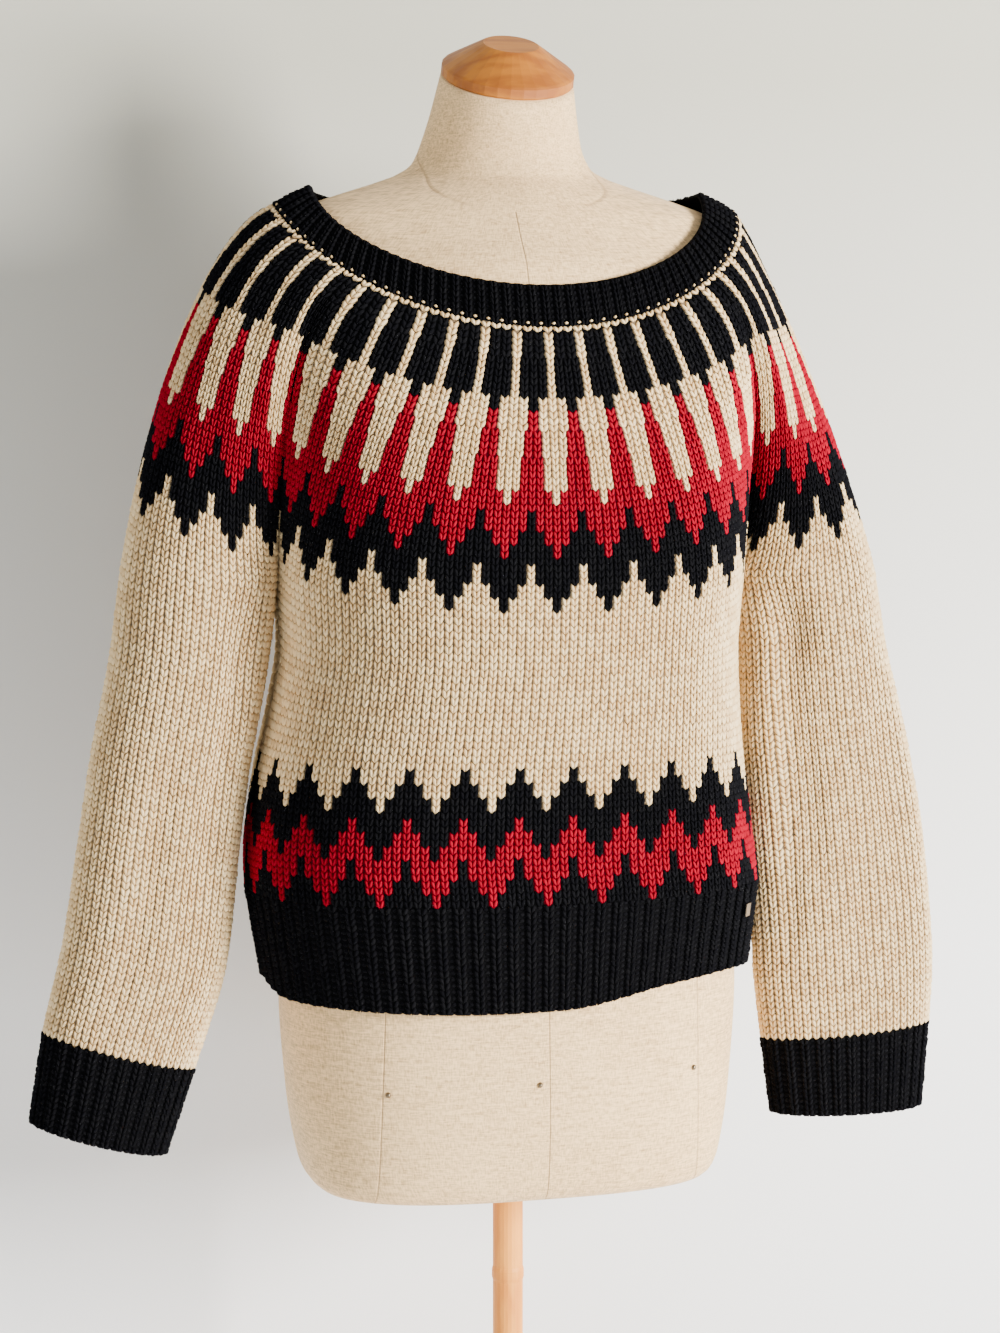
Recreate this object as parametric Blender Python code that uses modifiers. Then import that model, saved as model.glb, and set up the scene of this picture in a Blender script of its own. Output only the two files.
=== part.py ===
"""Knitted round-yoke sweater, worn by a limbless dress form on a pole and a round base.

Metres, +Z up, origin on the floor under the pole. The front faces -Y and the wearer's left is +X.
"""

import math

import bmesh
import bpy
import numpy as np
from mathutils import Matrix, Vector

# Sweater heights and cloth
HEM_Z = 0.783
RIB_TOP_Z = 0.862
UNDERARM_Z = 1.100
WALL = 0.003
BODY_SQUARENESS = 2.35

# Clearances: where pieces meet, between the two sides of an upright seam, and how far the
# inner edge of a wall stands back from its seam, so that walls clear each other at a bend
GAP = 0.0003
SEAM = 0.0004
EDGE_SETBACK = 0.0004

# Neck opening at the seam between the yoke and the neckband
NECK_HALF_WIDTH = 0.184
NECK_FRONT_DEPTH = 0.113
NECK_BACK_DEPTH = 0.096
NECK_SHOULDER_Z = 1.384
NECK_FRONT_DROP = 0.093
NECK_BACK_DROP = 0.030
NECK_DROP_POWER = 1.3
NECK_SLOPE_SIDE = math.radians(25)
NECK_SLOPE_MIDDLE = math.radians(70)
NECK_SLOPE_POWER = 1.2
NECKBAND_HEIGHT = 0.033

# Ribs: count round each piece and how far they stand out of the wall
NECKBAND_RIBS = 98
HEM_RIBS_PER_PANEL = 40
CUFF_RIBS = 26
RIB_RISE = 0.0014

# The yoke repeats its motif all the way round, and the seams fall between repeats
YOKE_REPEATS = 42
PANEL_REPEATS = 13
SLEEVE_REPEATS = 8

# Body tube below the underarm: height, centre, half width, depth in front and behind
BODY_COLUMNS = ("z", "centre_x", "half_width", "front", "back")
BODY_SECTIONS = (
    (0.783, -0.002, 0.193, 0.124, 0.121),
    (0.820, -0.002, 0.199, 0.129, 0.125),
    (0.862, -0.004, 0.203, 0.133, 0.129),
    (0.900, -0.007, 0.200, 0.135, 0.130),
    (0.950, -0.007, 0.193, 0.137, 0.129),
    (1.000, -0.004, 0.185, 0.139, 0.126),
    (1.050, -0.001, 0.180, 0.140, 0.123),
    (1.100, 0.000, 0.183, 0.141, 0.120),
)

# Sleeve tubes: height and place of each ring's centre, half width and half depth,
# turn about the upright axis and lean, in degrees. The lowest two rows are the cuff.
SLEEVE_COLUMNS = ("z", "centre_x", "centre_y", "half_width", "half_depth", "turn", "lean")
SLEEVE_SECTIONS = {
    "right": (
        (0.677, -0.326, -0.010, 0.0545, 0.036, -8.0, 17.0),
        (0.744, -0.309, -0.010, 0.0610, 0.037, -8.0, 17.0),
        (0.820, -0.288, -0.010, 0.0640, 0.039, -8.0, 13.0),
        (0.900, -0.277, -0.010, 0.0620, 0.041, -8.0, 9.0),
        (0.960, -0.268, -0.009, 0.0610, 0.042, -7.0, 9.0),
        (1.040, -0.252, -0.006, 0.0600, 0.044, -3.0, 7.0),
        (1.100, -0.2435, 0.000, 0.0600, 0.045, 0.0, 0.0),
    ),
    "left": (
        (0.658, 0.2900, 0.008, 0.0650, 0.029, 0.0, 0.0),
        (0.724, 0.2885, 0.008, 0.0725, 0.030, 0.0, 3.0),
        (0.785, 0.2860, 0.008, 0.0770, 0.028, 0.0, 4.0),
        (0.873, 0.2780, 0.008, 0.0760, 0.030, 0.0, 5.0),
        (0.962, 0.2660, 0.008, 0.0705, 0.035, 0.0, 5.0),
        (1.050, 0.2520, 0.004, 0.0610, 0.043, 0.0, 4.0),
        (1.100, 0.2435, 0.000, 0.0600, 0.045, 0.0, 0.0),
    ),
}

# Soft folds in the sleeves: height, place round the tube, depth, half length, half breadth
FOLDS = {
    "right": (
        (1.050, 0.15, 0.006, 0.040, 0.07),
        (0.900, 0.28, 0.003, 0.090, 0.05),
        (1.000, 0.82, 0.005, 0.050, 0.07),
    ),
    "left": (
        (1.060, 0.16, 0.008, 0.030, 0.09),
        (0.985, 0.24, 0.005, 0.055, 0.05),
        (0.930, 0.38, 0.003, 0.080, 0.05),
        (1.020, 0.80, 0.005, 0.050, 0.07),
    ),
}

# Handles of the yoke's meridians: how each leaves the ring at the underarm (low) and how it
# arrives at the neck (high). The place runs from the middle of a panel, 0, to its seam, 1.
# x points outwards and y away from the wearer's middle, so a row serves front and back.
HANDLE_COLUMNS = ("place", "low_x", "low_y", "low_z", "high_x", "high_y", "high_z")
RAGLAN_HANDLES = (1.0, 0.007, 0.053, 0.095, 0.052, 0.000, -0.030)
PANEL_HANDLES = (
    (0.0, 0.000, 0.000, 0.070, 0.000, 0.013, -0.045),
    (0.4, 0.000, 0.001, 0.072, 0.008, 0.016, -0.046),
    (0.7, -0.004, 0.018, 0.080, 0.025, 0.018, -0.045),
    (0.9, 0.000, 0.043, 0.090, 0.043, 0.008, -0.036),
    RAGLAN_HANDLES,
)
SLEEVE_HANDLES = {
    "right": (
        (0.0, -0.018, 0.000, 0.112, 0.060, 0.000, -0.022),
        (0.4, -0.005, 0.002, 0.108, 0.057, 0.001, -0.024),
        (0.6, 0.008, 0.015, 0.105, 0.050, 0.001, -0.027),
        (0.8, 0.015, 0.036, 0.100, 0.050, 0.002, -0.028),
        RAGLAN_HANDLES,
    ),
    "left": (
        (0.0, -0.028, 0.000, 0.090, 0.033, 0.000, -0.049),
        (0.4, -0.012, 0.002, 0.090, 0.037, 0.001, -0.043),
        (0.6, 0.004, 0.015, 0.095, 0.042, 0.001, -0.036),
        (0.8, 0.013, 0.036, 0.097, 0.048, 0.002, -0.031),
        RAGLAN_HANDLES,
    ),
}

# Dress form: height, half width, depth in front and behind, centre, forward tilt and
# squareness: 2 is an ellipse, and less than 2 draws the shoulders out to narrow ends
FORM_COLUMNS = ("z", "half_width", "front", "back", "centre_y", "tilt", "squareness")
FORM_SECTIONS = (
    (0.6250, 0.1490, 0.088, 0.086, 0.000, 0.0, 2.9),
    (0.6275, 0.1560, 0.096, 0.094, 0.000, 0.0, 2.9),
    (0.6340, 0.1622, 0.103, 0.101, 0.000, 0.0, 2.8),
    (0.6460, 0.1668, 0.108, 0.106, 0.000, 0.0, 2.7),
    (0.7000, 0.1765, 0.116, 0.113, 0.000, 0.0, 2.4),
    (0.7800, 0.1820, 0.118, 0.116, 0.000, 0.0, 2.3),
    (0.8600, 0.1700, 0.110, 0.108, 0.000, 0.0, 2.3),
    (0.9300, 0.1500, 0.100, 0.094, 0.000, 0.0, 2.3),
    (0.9850, 0.1400, 0.096, 0.088, 0.000, 0.0, 2.3),
    (1.0500, 0.1460, 0.104, 0.090, 0.000, 0.0, 2.3),
    (1.1200, 0.1560, 0.121, 0.094, 0.000, 0.0, 2.3),
    (1.1900, 0.1620, 0.126, 0.096, 0.000, 0.0, 2.3),
    (1.2500, 0.1700, 0.117, 0.097, 0.000, 0.0, 2.2),
    (1.3000, 0.1780, 0.104, 0.094, 0.000, 0.0, 2.0),
    (1.3350, 0.1830, 0.0938, 0.088, 0.000, 0.0, 1.75),
    (1.3600, 0.1810, 0.078, 0.0815, 0.002, 0.0, 1.60),
    (1.3770, 0.1716, 0.070, 0.0773, 0.005, 0.0, 1.50),
    (1.3900, 0.1400, 0.066, 0.0710, 0.009, 1.0, 1.42),
    (1.4000, 0.1090, 0.064, 0.069, 0.013, 3.0, 1.45),
    (1.4080, 0.0860, 0.063, 0.066, 0.017, 6.0, 1.60),
    (1.4160, 0.0715, 0.062, 0.064, 0.020, 9.0, 1.85),
    (1.4290, 0.0640, 0.060, 0.062, 0.020, 13.0, 2.0),
    (1.4480, 0.0585, 0.057, 0.058, 0.014, 18.0, 2.0),
    (1.4820, 0.0515, 0.0515, 0.0515, 0.003, 24.0, 2.0),
)
FORM_FINE_ROWS = slice(4, 13)

# Wooden parts of the stand
CAP_RADIUS = 0.0515
CAP_RIM = 0.009
CAP_TOP_RADIUS = 0.023
CAP_HEIGHT = 0.028
CAP_EASE = 0.0015
POLE_RADIUS = 0.012
POLE_RING_Z = 0.543
POLE_RING_RISE = 0.0008
POLE_RING_HALF = 0.003
BASE_RADIUS = 0.190
BASE_THICKNESS = 0.022
BASE_EDGE = 0.006
BASE_EASE = 0.002
BASE_HUB_RADIUS = 0.030
BASE_HUB_HEIGHT = 0.012
BASE_HUB_EASE = 0.003

# Plain metal tag, on one rib of the front hem counted from the wearer's right
TAG_WIDTH = 0.008
TAG_HEIGHT = 0.010
TAG_THICKNESS = 0.0008
TAG_Z = 0.841
TAG_RIB = 34

# Mesh fineness
PANEL_SPANS = 24
PANEL_TUBE_ROWS = 6
YOKE_SPANS = 9
SLEEVE_SPANS = 26
SLEEVE_TUBE_ROWS = 9
FORM_POINTS = 32
CAP_STEPS = 32
POLE_STEPS = 24
BASE_STEPS = 44
CURVE_POINTS = 721
SMALL_RISE = 0.004
SMALL_REPEAT = 0.05
SHARP_ANGLE = math.radians(40)

COLOURS = {
    "cream_yarn": ((0.68, 0.55, 0.40), 0.9, 0.0),
    "black_yarn": ((0.008, 0.008, 0.010), 0.9, 0.0),
    "linen": ((0.74, 0.64, 0.51), 0.85, 0.0),
    "varnished_wood": ((0.60, 0.27, 0.06), 0.3, 0.0),
    "pale_wood": ((0.74, 0.47, 0.20), 0.45, 0.0),
    "tag_metal": ((0.35, 0.30, 0.25), 0.35, 1.0),
}


def unit(vectors):
    """Vectors of length one along the last axis."""
    return vectors / np.linalg.norm(vectors, axis=-1, keepdims=True)


def signed_power(value, power):
    """Power of the size of a value, with its sign kept."""
    return np.sign(value) * np.abs(value) ** power


def read_table(columns, rows, at):
    """A table's columns by name at the given firsts, on curves that never overshoot a row."""
    table = np.array(rows, dtype=float)
    x = table[:, 0]
    y = table[:, 1:]
    step = np.diff(x)[:, None]
    slope = np.diff(y, axis=0) / step
    before = slope[:-1]
    after = slope[1:]
    same = before * after > 0
    total = np.where(same, before + after, 1.0)
    tangent = np.concatenate([slope[:1], np.where(same, 2 * before * after / total, 0), slope[-1:]])
    at = np.asarray(at, dtype=float)
    k = np.clip(np.searchsorted(x, at) - 1, 0, len(x) - 2)
    run = step[k]
    t = (at - x[k])[..., None] / run
    values = (
        (2 * t**3 - 3 * t**2 + 1) * y[k]
        + (t**3 - 2 * t**2 + t) * run * tangent[k]
        + (3 * t**2 - 2 * t**3) * y[k + 1]
        + (t**3 - t**2) * run * tangent[k + 1]
    )
    return {name: values[..., i] for i, name in enumerate(columns[1:])}


def even_points(curve, shares):
    """Points of a curve at the given shares of its length."""
    length = np.concatenate([[0.0], np.cumsum(np.linalg.norm(np.diff(curve, axis=0), axis=1))])
    return np.stack([np.interp(shares, length / length[-1], axis) for axis in curve.T], axis=1)


def body_arc(z, facing, places):
    """Front half (facing -1) or back half (1) of a body ring; places -1 to 1 run towards +X."""
    ring = read_table(BODY_COLUMNS, BODY_SECTIONS, z)
    depth = ring["front"] if facing < 0 else ring["back"]
    angle = np.linspace(-math.pi / 2, math.pi / 2, CURVE_POINTS)
    power = 2 / BODY_SQUARENESS
    x = ring["centre_x"] + ring["half_width"] * signed_power(np.sin(angle), power)
    y = facing * (depth * np.abs(np.cos(angle)) ** power + SEAM / 2)
    curve = np.stack([x, y, np.full(CURVE_POINTS, z)], axis=1)
    return even_points(curve, (places + 1) / 2)


def sleeve_ring(side, z, places):
    """Ring of a sleeve; places 0 and 1 meet at the inseam, and it starts by way of the front."""
    ring = read_table(SLEEVE_COLUMNS, SLEEVE_SECTIONS[side], z)
    out = 1 if side == "left" else -1
    angle = np.linspace(0, 2 * math.pi, CURVE_POINTS)
    width = -ring["half_width"] * np.cos(angle)
    depth = -ring["half_depth"] * np.sin(angle)
    turn = math.radians(ring["turn"])
    lean = math.radians(ring["lean"])
    along = width * math.cos(turn) - depth * math.sin(turn)
    across = width * math.sin(turn) + depth * math.cos(turn)
    spokes = np.stack([out * along * math.cos(lean), across, along * math.sin(lean)], axis=1)
    spokes = even_points(spokes, places)
    for fold_z, place, deep, half_length, half_breadth in FOLDS[side]:
        near = np.exp(-(((z - fold_z) / half_length) ** 2) - ((places - place) / half_breadth) ** 2)
        spokes -= unit(spokes) * (deep * near)[:, None]
    spokes[:, 1] += np.where(places == 0, -SEAM / 2, 0) + np.where(places == 1, SEAM / 2, 0)
    return spokes + np.array([ring["centre_x"], ring["centre_y"], z])


def neck_curve():
    """Seam of the neckband, from the front middle by the wearer's left round to the front."""
    angle = np.linspace(0, 2 * math.pi, 2 * CURVE_POINTS - 1)
    cosine = np.cos(angle)
    depth = np.where(cosine > 0, NECK_FRONT_DEPTH, NECK_BACK_DEPTH)
    drop = np.where(cosine > 0, NECK_FRONT_DROP, NECK_BACK_DROP)
    z = NECK_SHOULDER_Z - drop * np.abs(cosine) ** NECK_DROP_POWER
    return np.stack([NECK_HALF_WIDTH * np.sin(angle), -depth * cosine, z], axis=1)


def neck_points(repeats):
    """Points of the neck seam at places counted in yoke repeats from the front middle."""
    return even_points(neck_curve(), np.mod(repeats, YOKE_REPEATS) / YOKE_REPEATS)


def neck_slopes(points):
    """Directions square to the neck seam in which the cloth leaves it, outwards and down."""
    depth = np.where(points[:, 1] < 0, NECK_FRONT_DEPTH, NECK_BACK_DEPTH)
    level = unit(np.stack([points[:, 0] / NECK_HALF_WIDTH**2, points[:, 1] / depth**2], axis=1))
    middle = (np.abs(points[:, 1]) / depth) ** NECK_SLOPE_POWER
    slope = NECK_SLOPE_SIDE + (NECK_SLOPE_MIDDLE - NECK_SLOPE_SIDE) * middle
    return np.concatenate([np.cos(slope)[:, None] * level, -np.sin(slope)[:, None]], axis=1)


def yoke_handles(repeats):
    """Low and high handles of the meridians at places counted in repeats round the yoke."""
    half = YOKE_REPEATS / 2
    edge = PANEL_REPEATS / 2
    turn = np.mod(repeats, YOKE_REPEATS)
    outwards = np.where(turn < half, 1.0, -1.0)
    from_front = np.where(turn < half, turn, YOKE_REPEATS - turn)
    away = np.where(from_front < half / 2, -1.0, 1.0)
    from_middle = np.minimum(from_front, half - from_front)
    over_arm = np.abs(2 * (from_front - edge) / SLEEVE_REPEATS - 1)
    panel = read_table(HANDLE_COLUMNS, PANEL_HANDLES, np.minimum(from_middle / edge, 1))
    left = read_table(HANDLE_COLUMNS, SLEEVE_HANDLES["left"], np.minimum(over_arm, 1))
    right = read_table(HANDLE_COLUMNS, SLEEVE_HANDLES["right"], np.minimum(over_arm, 1))
    sign = {"x": outwards, "y": away, "z": 1.0}
    ends = []
    for end in ("low", "high"):
        axes = []
        for axis in "xyz":
            key = f"{end}_{axis}"
            sleeve = np.where(outwards > 0, left[key], right[key])
            axes.append(sign[axis] * np.where(from_middle <= edge, panel[key], sleeve))
        ends.append(np.stack(axes, axis=1))
    return ends


def neck_normals(repeats):
    """Unit normals of the cloth at the neck seam, shared by the yoke and the neckband."""
    along = neck_points(repeats + SMALL_REPEAT) - neck_points(repeats - SMALL_REPEAT)
    down = unit(yoke_handles(repeats)[1]) + neck_slopes(neck_points(repeats))
    return unit(np.cross(along, -down))


def yoke_rows(start, repeats):
    """Cubic curves from points of the underarm ring to the neck seam, with their directions."""
    low, high = yoke_handles(repeats)
    end = neck_points(repeats) + unit(high) * (GAP / 2)
    points = []
    directions = []
    for w in np.linspace(0, 1, YOKE_SPANS + 1):
        v = 1 - w
        points.append(
            v**3 * start + 3 * w * v**2 * (start + low) + 3 * w**2 * v * (end + high) + w**3 * end
        )
        directions.append(v**2 * low + 2 * v * w * (end + high - start - low) - w**2 * high)
    return points, directions


def outward(points, directions, closed):
    """Unit outward normals from rows of points and the directions in which the cloth rises."""
    if closed:
        across = np.roll(points, -1, axis=1) - np.roll(points, 1, axis=1)
    else:
        across = np.gradient(points, axis=1)
    return unit(np.cross(across, directions))


def tube_rows(ring, heights):
    """Rings at the heights and the directions in which the tube rises through them."""
    points = [ring(z) for z in heights]
    directions = [ring(z + SMALL_RISE) - ring(z - SMALL_RISE) for z in heights]
    return points, directions


def yoke_panel(ring, heights, repeats, edge_shift):
    """Outer points and normals of a panel: rings of its tube, then the yoke above them.

    edge_shift moves the yoke's two seam edges along X, and grows from the underarm to the neck.
    """
    points, directions = tube_rows(ring, heights)
    above, rising = yoke_rows(ring(UNDERARM_Z), repeats)
    above = np.array(above)
    above[:, [0, -1], 0] += np.linspace(0, edge_shift, YOKE_SPANS + 1)[:, None]
    rising[0] = unit(rising[0]) + unit(ring(UNDERARM_Z) - ring(UNDERARM_Z - SMALL_RISE))
    points = np.concatenate([np.array(points), above])
    normals = outward(points, np.array(directions + rising), False)
    normals[-1] = neck_normals(repeats)
    return points, normals


def body_panel(facing):
    """Surface of the front (facing -1) or the back (1), from the rib to the neck."""
    places = np.linspace(-1, 1, PANEL_SPANS + 1) * -facing
    repeats = places * (PANEL_REPEATS / 2)
    if facing > 0:
        repeats = YOKE_REPEATS / 2 - repeats
    heights = np.linspace(RIB_TOP_Z + GAP, UNDERARM_Z, PANEL_TUBE_ROWS, endpoint=False)
    return yoke_panel(lambda z: body_arc(z, facing, places), heights, repeats, 0.0)


def sleeve_panel(side):
    """Surface of a sleeve, from the cuff to the neck, open along the inseam."""
    out = 1 if side == "left" else -1
    places = np.linspace(0, 1, SLEEVE_SPANS + 1)[::out]
    repeats = out * (PANEL_REPEATS / 2 + SLEEVE_REPEATS * places)
    cuff_top = SLEEVE_SECTIONS[side][1][0]
    heights = np.linspace(cuff_top + GAP, UNDERARM_Z, SLEEVE_TUBE_ROWS, endpoint=False)
    return yoke_panel(lambda z: sleeve_ring(side, z, places), heights, repeats, out * SEAM)


def ribbed_tube(ring, low, high, closed):
    """Outer points and normals of a straight rib between two heights of a ring function."""
    points, directions = map(np.array, tube_rows(ring, (low, high)))
    return points, outward(points, directions, closed)


def grid_faces(rows, columns, closed, first=0):
    """Quads of a grid whose columns run anticlockwise seen from above and rows run up."""
    faces = []
    for r in range(rows - 1):
        for c in range(columns if closed else columns - 1):
            a = first + r * columns + c
            b = first + r * columns + (c + 1) % columns
            faces.append((a, b, b + columns, a + columns))
    return faces


def cloth_wall(name, outer, inner, closed, material):
    """Closed wall between an outer and an inner grid of the same shape, with a rim all round."""
    rows, columns, _ = outer.shape
    first = rows * columns
    top = (rows - 1) * columns
    faces = grid_faces(rows, columns, closed)
    faces += [face[::-1] for face in grid_faces(rows, columns, closed, first)]
    for c in range(columns if closed else columns - 1):
        d = (c + 1) % columns
        faces.append((c, first + c, first + d, d))
        faces.append((top + c, top + d, first + top + d, first + top + c))
    if not closed:
        for r in range(rows - 1):
            a = r * columns
            b = a + columns - 1
            faces.append((a, a + columns, first + a + columns, first + a))
            faces.append((b, first + b, first + b + columns, b + columns))
    points = np.concatenate([outer.reshape(-1, 3), inner.reshape(-1, 3)])
    return add_mesh(name, points, faces, material)


def add_mesh(name, points, faces, material):
    """Object with a mesh made of the points and faces."""
    mesh = bpy.data.meshes.new(name)
    mesh.from_pydata(points.tolist(), [], faces)
    return add_object(name, mesh, material)


def add_object(name, mesh, material):
    """Put a mesh in the model's collection with its material, smooth between sharp edges."""
    mesh.shade_smooth()
    mesh.set_sharp_from_angle(angle=SHARP_ANGLE)
    mesh.materials.append(material)
    obj = bpy.data.objects.new(name, mesh)
    PARTS.objects.link(obj)
    return obj


def plain_wall(name, surface, material):
    """Open panel of even thickness behind an outer surface."""
    outer, normals = surface
    inner = outer - normals * WALL
    inner[:, 0] += unit(inner[:, 1] - inner[:, 0]) * EDGE_SETBACK
    inner[:, -1] += unit(inner[:, -2] - inner[:, -1]) * EDGE_SETBACK
    return cloth_wall(name, outer, inner, False, material)


def ribbed_wall(name, surface, closed, material):
    """Wall with ribs raised in its outer points, peak and valley in turn, and a plain inside."""
    plain, normals = surface
    peak = (np.arange(plain.shape[1]) % 2 == 0)[None, :, None]
    outer = plain + normals * RIB_RISE * peak
    return cloth_wall(name, outer, plain - normals * WALL, closed, material)


def turned(name, profile, steps, material):
    """Solid of revolution from a half profile that runs down its outer side."""
    mesh = bpy.data.meshes.new(name)
    points = [(radius, 0.0, z) for radius, z in profile]
    mesh.from_pydata(points, [(i, i + 1) for i in range(len(points) - 1)], [])
    obj = add_object(name, mesh, material)
    screw = obj.modifiers.new("Turn", "SCREW")
    screw.steps = steps
    screw.render_steps = steps
    screw.use_merge_vertices = True
    screw.merge_threshold = 0.00001
    return obj


def make_material(name):
    """Principled material with the colour, roughness and metallic value of its row."""
    colour, roughness, metallic = COLOURS[name]
    material = bpy.data.materials.new(name)
    material.use_nodes = True
    shader = material.node_tree.nodes["Principled BSDF"]
    shader.inputs["Base Color"].default_value = (*colour, 1.0)
    shader.inputs["Roughness"].default_value = roughness
    shader.inputs["Metallic"].default_value = metallic
    material.diffuse_color = (*colour, 1.0)
    return material


def add_body(materials):
    """Front and back panels with the ribbed hem below them."""
    places = np.linspace(-1, 1, 2 * HEM_RIBS_PER_PANEL + 1)
    for name, facing in (("front", -1), ("back", 1)):
        plain_wall(name, body_panel(facing), materials["cream_yarn"])
        hem = ribbed_tube(
            lambda z: body_arc(z, facing, -facing * places), HEM_Z, RIB_TOP_Z, False
        )
        ribbed_wall(f"hem_rib_{name}", hem, False, materials["black_yarn"])


def add_sleeve(side, materials):
    """Sleeve panel, rolled and joined at the inseam, with its ribbed cuff."""
    plain_wall(f"sleeve_{side}", sleeve_panel(side), materials["cream_yarn"])
    out = 1 if side == "left" else -1
    places = (np.arange(2 * CUFF_RIBS) + 0.5)[::out] / (2 * CUFF_RIBS)
    low = SLEEVE_SECTIONS[side][0][0]
    high = SLEEVE_SECTIONS[side][1][0]
    cuff = ribbed_tube(lambda z: sleeve_ring(side, z, places), low, high, True)
    ribbed_wall(f"cuff_{side}", cuff, True, materials["black_yarn"])


def add_neckband(materials):
    """Ribbed band that goes on from the yoke, up and inwards over the form."""
    repeats = np.arange(2 * NECKBAND_RIBS) / (2 * NECKBAND_RIBS) * YOKE_REPEATS
    seam = neck_points(repeats)
    slope = neck_slopes(seam)
    points = np.array([seam - slope * (GAP / 2), seam - slope * NECKBAND_HEIGHT])
    normals = outward(points, -np.array([slope, slope]), True)
    normals[0] = neck_normals(repeats)
    ribbed_wall("neckband", (points, normals), True, materials["black_yarn"])


def add_tag(materials):
    """Plain metal tag that lies on the peak of one rib of the front hem."""
    place = 2 * TAG_RIB / HEM_RIBS_PER_PANEL - 1
    places = place + np.array([-1, 0, 1]) / HEM_RIBS_PER_PANEL
    low = body_arc(HEM_Z, -1, places)
    high = body_arc(RIB_TOP_Z, -1, places)
    points = low + (high - low) * (TAG_Z - HEM_Z) / (RIB_TOP_Z - HEM_Z)
    across = Vector(points[2] - points[0]).normalized()
    normal = across.cross(Vector(high[1] - low[1])).normalized()
    centre = Vector(points[1]) + normal * (RIB_RISE + GAP + TAG_THICKNESS / 2)
    turn = Matrix((across, normal.cross(across), normal)).transposed().to_4x4()
    size = Matrix.Diagonal((TAG_WIDTH, TAG_HEIGHT, TAG_THICKNESS, 1.0))
    bm = bmesh.new()
    bmesh.ops.create_cube(bm, size=1.0, matrix=Matrix.Translation(centre) @ turn @ size)
    mesh = bpy.data.meshes.new("hem_tag")
    bm.to_mesh(mesh)
    bm.free()
    add_object("hem_tag", mesh, materials["tag_metal"])


def form_ring(z):
    """Ring of the dress form at a height, from its section table."""
    ring = read_table(FORM_COLUMNS, FORM_SECTIONS, z)
    angle = np.linspace(0, 2 * math.pi, FORM_POINTS, endpoint=False)
    cosine = np.cos(angle)
    power = 2 / ring["squareness"]
    x = ring["half_width"] * signed_power(np.sin(angle), power)
    depth = np.where(cosine > 0, ring["front"], ring["back"])
    y = -signed_power(cosine, power) * depth
    tilt = math.radians(ring["tilt"])
    return np.stack([x, ring["centre_y"] + y * math.cos(tilt), z + y * math.sin(tilt)], axis=1)


def add_form(materials):
    """Torso of the dress form, as one closed loft from its underside to the top of the neck."""
    heights = [row[0] for row in FORM_SECTIONS]
    fine = heights[FORM_FINE_ROWS]
    between = [(low + high) / 2 for low, high in zip(fine, fine[1:])]
    rings = np.array([form_ring(z) for z in sorted(heights + between)])
    rows, columns, _ = rings.shape
    faces = grid_faces(rows, columns, True)
    faces.append(tuple(reversed(range(columns))))
    faces.append(tuple(range((rows - 1) * columns, rows * columns)))
    add_mesh("form_body", rings.reshape(-1, 3), faces, materials["linen"])


def add_cap(materials):
    """Turned wooden cap that sits on the slanting top of the neck."""
    profile = (
        (0.0, CAP_HEIGHT),
        (CAP_TOP_RADIUS - CAP_EASE, CAP_HEIGHT),
        (CAP_TOP_RADIUS, CAP_HEIGHT - CAP_EASE / 2),
        (CAP_RADIUS - CAP_EASE, CAP_RIM + CAP_EASE / 2),
        (CAP_RADIUS, CAP_RIM - CAP_EASE / 2),
        (CAP_RADIUS, CAP_EASE),
        (CAP_RADIUS - CAP_EASE, 0.0),
        (0.0, 0.0),
    )
    cap = turned("form_neck_cap", profile, CAP_STEPS, materials["varnished_wood"])
    top = dict(zip(FORM_COLUMNS, FORM_SECTIONS[-1]))
    seat = Matrix.Translation((0.0, top["centre_y"], top["z"]))
    turn = Matrix.Rotation(math.radians(top["tilt"]), 4, "X")
    cap.matrix_world = seat @ turn @ Matrix.Translation((0.0, 0.0, GAP))


def add_pole(materials):
    """Turned pole from the base to the underside of the torso, with a low ring."""
    top = FORM_SECTIONS[0][0] - GAP
    foot = BASE_THICKNESS + BASE_HUB_HEIGHT + GAP
    ring = POLE_RADIUS + POLE_RING_RISE
    profile = (
        (0.0, top),
        (POLE_RADIUS, top),
        (POLE_RADIUS, POLE_RING_Z + 2 * POLE_RING_HALF),
        (ring, POLE_RING_Z + POLE_RING_HALF),
        (ring, POLE_RING_Z - POLE_RING_HALF),
        (POLE_RADIUS, POLE_RING_Z - 2 * POLE_RING_HALF),
        (POLE_RADIUS, foot),
        (0.0, foot),
    )
    turned("form_pole", profile, POLE_STEPS, materials["pale_wood"])


def add_base(materials):
    """Round wooden base with eased edges and a raised hub under the pole."""
    hub_top = BASE_THICKNESS + BASE_HUB_HEIGHT
    profile = (
        (0.0, hub_top),
        (BASE_HUB_RADIUS - BASE_HUB_EASE, hub_top),
        (BASE_HUB_RADIUS, hub_top - BASE_HUB_EASE),
        (BASE_HUB_RADIUS, BASE_THICKNESS),
        (BASE_RADIUS - BASE_EDGE, BASE_THICKNESS),
        (BASE_RADIUS - BASE_EASE, BASE_THICKNESS - BASE_EASE),
        (BASE_RADIUS, BASE_THICKNESS - BASE_EDGE),
        (BASE_RADIUS, BASE_EASE),
        (BASE_RADIUS - BASE_EASE, 0.0),
        (0.0, 0.0),
    )
    turned("form_base", profile, BASE_STEPS, materials["pale_wood"])


for old in list(bpy.data.objects):
    bpy.data.objects.remove(old, do_unlink=True)
PARTS = bpy.data.collections.new("sweater_on_form")
bpy.context.scene.collection.children.link(PARTS)

MATERIALS = {name: make_material(name) for name in COLOURS}
add_body(MATERIALS)
for which in SLEEVE_SECTIONS:
    add_sleeve(which, MATERIALS)
add_neckband(MATERIALS)
add_tag(MATERIALS)
add_form(MATERIALS)
add_cap(MATERIALS)
add_pole(MATERIALS)
add_base(MATERIALS)
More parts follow.
